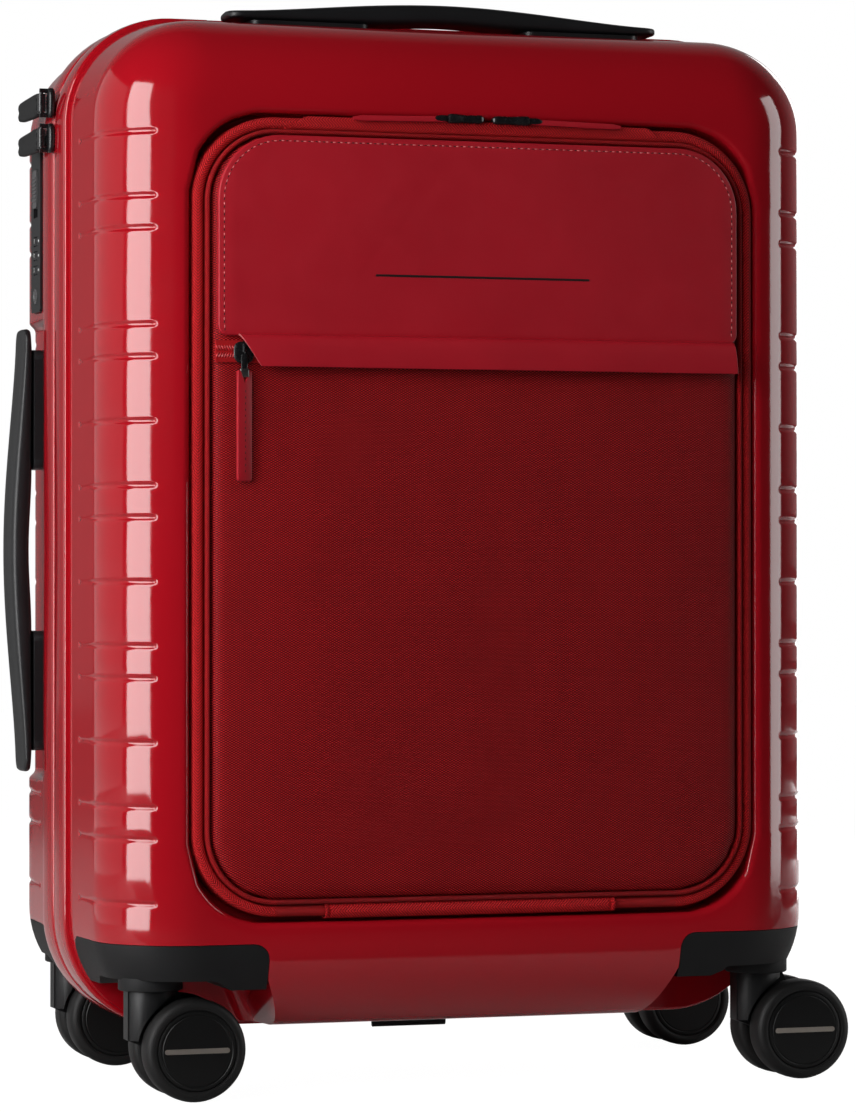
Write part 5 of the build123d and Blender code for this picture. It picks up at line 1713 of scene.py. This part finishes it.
# Feet
# Four soft black feet on the right side, so the case can lie on it.

dressed("front_feet", guard_plastic)
dressed("rear_feet", guard_plastic)

# Telescopic trolley
# Two three-stage aluminium tubes run down the back of the rear half, with a moulded grip and release button
# on top, a bezel that lines the notch, and steel brackets at the foot.

tube_metal, shader, start = finish("tube_metal", Metallic=1.0)
place = place_of(start)
stretch = start.add("ShaderNodeMapping", None, {"Vector": place, "Scale": (900, 900, 6)})
drawn = noise(start, stretch, 1.0, 3.0)
feed(shader, "Base Color", two_tone(start, drawn, srgb(146, 147, 150), srgb(186, 187, 190)))
feed(shader, "Roughness", 0.26 + 0.16 * drawn)
for name in ("trolley_outer_tubes", "trolley_middle_tubes", "trolley_inner_tubes"):
    dressed(name, tube_metal)
dressed("trolley_brackets", axle_steel, 0.4 * MM)
dressed("trolley_bezel", guard_plastic, 0.5 * MM)
dressed("trolley_grip", black_plastic, 1.2 * MM)
dressed("trolley_button", lock_grey, 0.6 * MM)

# Inside of the rear half
# A stiff board wrapped in lining fabric covers the tubes. Two packing straps of flat webbing are riveted to
# its sides and close in the middle with moulded side-release buckles.

dressed("tube_cover", lining_cloth, 1.0 * MM)

webbing, shader, start = finish("webbing", Roughness=0.75, Sheen_Weight=0.15)
place = place_of(start)
zigzag = start.maths("PINGPONG", axis_of(start, place, "Z"), 3 * MM)
chevron = ripple(axis_of(start, place, "X") + zigzag, 1.6 * MM)
feed(shader, "Base Color", two_tone(start, chevron, srgb(20, 20, 21), srgb(54, 53, 55)))
feed(shader, "Normal", bump(start, chevron, 0.4, 0.3 * MM))

STRAP_HALF = 12.5 * MM
STRAP_BACK = 75.8 * MM
STRAP_NEAR = 20
STRAP_FAR = 114
STRAP_STEPS = 24
BUCKLE_HALF = (23 * MM, 17 * MM)
BUCKLE_FRONT = 68.8 * MM
BUCKLE_THICK = 7 * MM
BUCKLE_CUT = 60 * MM
for number, level in enumerate((215 * MM, 365 * MM)):
    strap_mesh = bmesh.new()
    for side in (-1, 1):
        rows = []
        for share in [step / STRAP_STEPS for step in range(STRAP_STEPS + 1)]:
            x = side * (STRAP_NEAR + (STRAP_FAR - STRAP_NEAR) * share) * MM
            lift = (0.9 + 1.6 * (1 - share) ** 2 + 0.25 * math.sin(share * 17)) * MM
            rows.append([(x, STRAP_BACK - lift - 0.2 * MM * (1 - across ** 2), level + across * STRAP_HALF)
                         for across in (-1, -0.5, 0, 0.5, 1)])
        laid(strap_mesh, rows)
    strap = solid_piece(f"packing_strap_{number + 1}", strap_mesh)
    thickened(strap, 1.1 * MM)
    fitted(strap, webbing, "rear_half", 60, None if number else "packing_straps")
    wide, tall = BUCKLE_HALF
    buckle_mesh = boxed((-wide, BUCKLE_FRONT, level - tall),
                        (wide, BUCKLE_FRONT + BUCKLE_THICK, level + tall))
    rounded(buckle_mesh, edges_along(buckle_mesh, 1), 5 * MM, 5)
    near_edges = [edge for edge in buckle_mesh.edges
                  if all(vert.co.y < BUCKLE_FRONT + 0.2 * MM for vert in edge.verts)]
    rounded(buckle_mesh, near_edges, 1.4 * MM, 3)
    buckle = solid_piece(f"strap_buckle_{number + 1}", buckle_mesh)
    slots = [boxed((x - 2.2 * MM, BUCKLE_CUT, level - 12.8 * MM), (x + 2.2 * MM, 72 * MM, level + 12.8 * MM))
             for x in (-15 * MM, 15 * MM)]
    waist = boxed((-1.2 * MM, BUCKLE_CUT, level - 20 * MM), (1.2 * MM, 70.4 * MM, level + 20 * MM))
    cut(buckle, slots + [waist])
    fitted(buckle, black_plastic, "rear_half", 40)

# Floor, light and camera
# Pale studio floor that looks white to the camera and ends, for the light, just in front of the case. Soft
# boxes stand on the left, in front, on the right and behind: some light the case, others show in its gloss.

floor_mesh = bmesh.new()
bmesh.ops.create_grid(floor_mesh, x_segments=1, y_segments=1, size=6.0)
floor = solid_piece("floor", floor_mesh)
floor_paint, shader, start = finish("floor_paint", Roughness=0.9)
floor_y = axis_of(start, place_of(start), "Y")
on_table = start.add("ShaderNodeMapRange", None, {0: floor_y, 1: -0.25, 2: -0.23})
feed(shader, "Base Color", two_tone(start, on_table, (0.08, 0.08, 0.08, 1), (0.6, 0.6, 0.6, 1)))
tree = floor_paint.node_tree
ray = tree.nodes.new("ShaderNodeLightPath")
glow = tree.nodes.new("ShaderNodeEmission")
glow.inputs["Strength"].default_value = 1.125
seen = Wire(tree, ray.outputs["Is Camera Ray"])
mixed = start.add("ShaderNodeMixShader", None,
                  {0: seen * 0.88, 1: Wire(tree, shader.outputs[0]), 2: Wire(tree, glow.outputs[0])})
tree.links.new(mixed.socket, tree.nodes["Material Output"].inputs["Surface"])
floor.data.materials.append(floor_paint)

world = bpy.data.worlds.new("studio")
bpy.context.scene.world = world
world.use_nodes = True
tree = world.node_tree
start = Wire(tree)
ray = tree.nodes.new("ShaderNodeLightPath")
seen = Wire(tree, ray.outputs["Is Camera Ray"])
mirrored = Wire(tree, ray.outputs["Is Glossy Ray"])
through = Wire(tree, ray.outputs["Is Transmission Ray"])
way = start.add("ShaderNodeTexCoord", out="Generated")
to_back = axis_of(start, way, "X") * 0.5 + axis_of(start, way, "Y") * 0.87
behind = start.add("ShaderNodeMapRange", None, {0: to_back, 1: 0.4, 2: 1.0, 3: 0.02, 4: 0.32})
ambient = 0.14
level = seen + (1 - seen) * ((mirrored + through) * behind + (1 - mirrored - through) * ambient)
background = tree.nodes["Background"]
tree.links.new(level.socket, background.inputs["Strength"])
background.inputs["Color"].default_value = (1, 1, 1, 1)


def soft_box(name, azimuth, distance, height, wide, tall, radiance, aim=(0, 0, 0.3), gives="both"):
    """Area light round the case: azimuth from the front towards the left, in degrees. It gives even light,
    its image in the gloss, or both, as a lamp with a polarising filter does."""
    light = bpy.data.lights.new(name, "AREA")
    light.shape = "RECTANGLE"
    light.size = wide
    light.size_y = tall
    light.energy = radiance * math.pi * wide * tall
    lamp = bpy.data.objects.new(name, light)
    turn = math.radians(azimuth)
    lamp.location = (-math.sin(turn) * distance, -math.cos(turn) * distance, height)
    lamp.rotation_mode = "QUATERNION"
    lamp.rotation_quaternion = (lamp.location - Vector(aim)).to_track_quat("Z", "Y")
    lamp.visible_camera = False
    lamp.visible_diffuse = gives != "image"
    lamp.visible_glossy = gives != "light"
    bpy.context.scene.collection.objects.link(lamp)


soft_box("key_light", 67, 1.5, 0.65, 0.8, 1.2, 5.0, aim=(0, 0, 0.4), gives="light")
soft_box("key_image", 67, 1.05, 0.5, 0.5, 1.2, 10.0, aim=(-0.17, -0.1, 0.5), gives="image")
soft_box("front_light", 42, 1.0, 0.62, 0.6, 0.6, 3.6, aim=(-0.1, -0.1, 0.3), gives="light")
soft_box("fill_image", 116, 1.3, 0.5, 1.5, 1.4, 0.6, aim=(-0.17, -0.05, 0.4), gives="image")
soft_box("right_light", -112, 1.5, 0.6, 0.6, 1.2, 7.0, gives="light")
soft_box("right_image", -70, 1.5, 0.5, 0.5, 1.6, 4.8, aim=(0.17, -0.1, 0.3), gives="image")
soft_box("back_light", 200, 1.8, 0.9, 1.2, 1.2, 3.5, gives="light")
soft_box("back_image", 225, 1.6, 0.5, 0.4, 1.4, 3.0, aim=(0.17, 0.1, 0.4), gives="image")

eye = bpy.data.cameras.new("eye")
eye.sensor_fit = "VERTICAL"
eye.sensor_height = 36.0
eye.lens = 134.68
camera = bpy.data.objects.new("eye", eye)
camera.location = (-0.6606, -2.0789, 0.2552)
camera.rotation_euler = (math.radians(90.365), 0, math.radians(-17.863))
bpy.context.scene.collection.objects.link(camera)
bpy.context.scene.camera = camera
bpy.context.scene.view_settings.view_transform = "Standard"
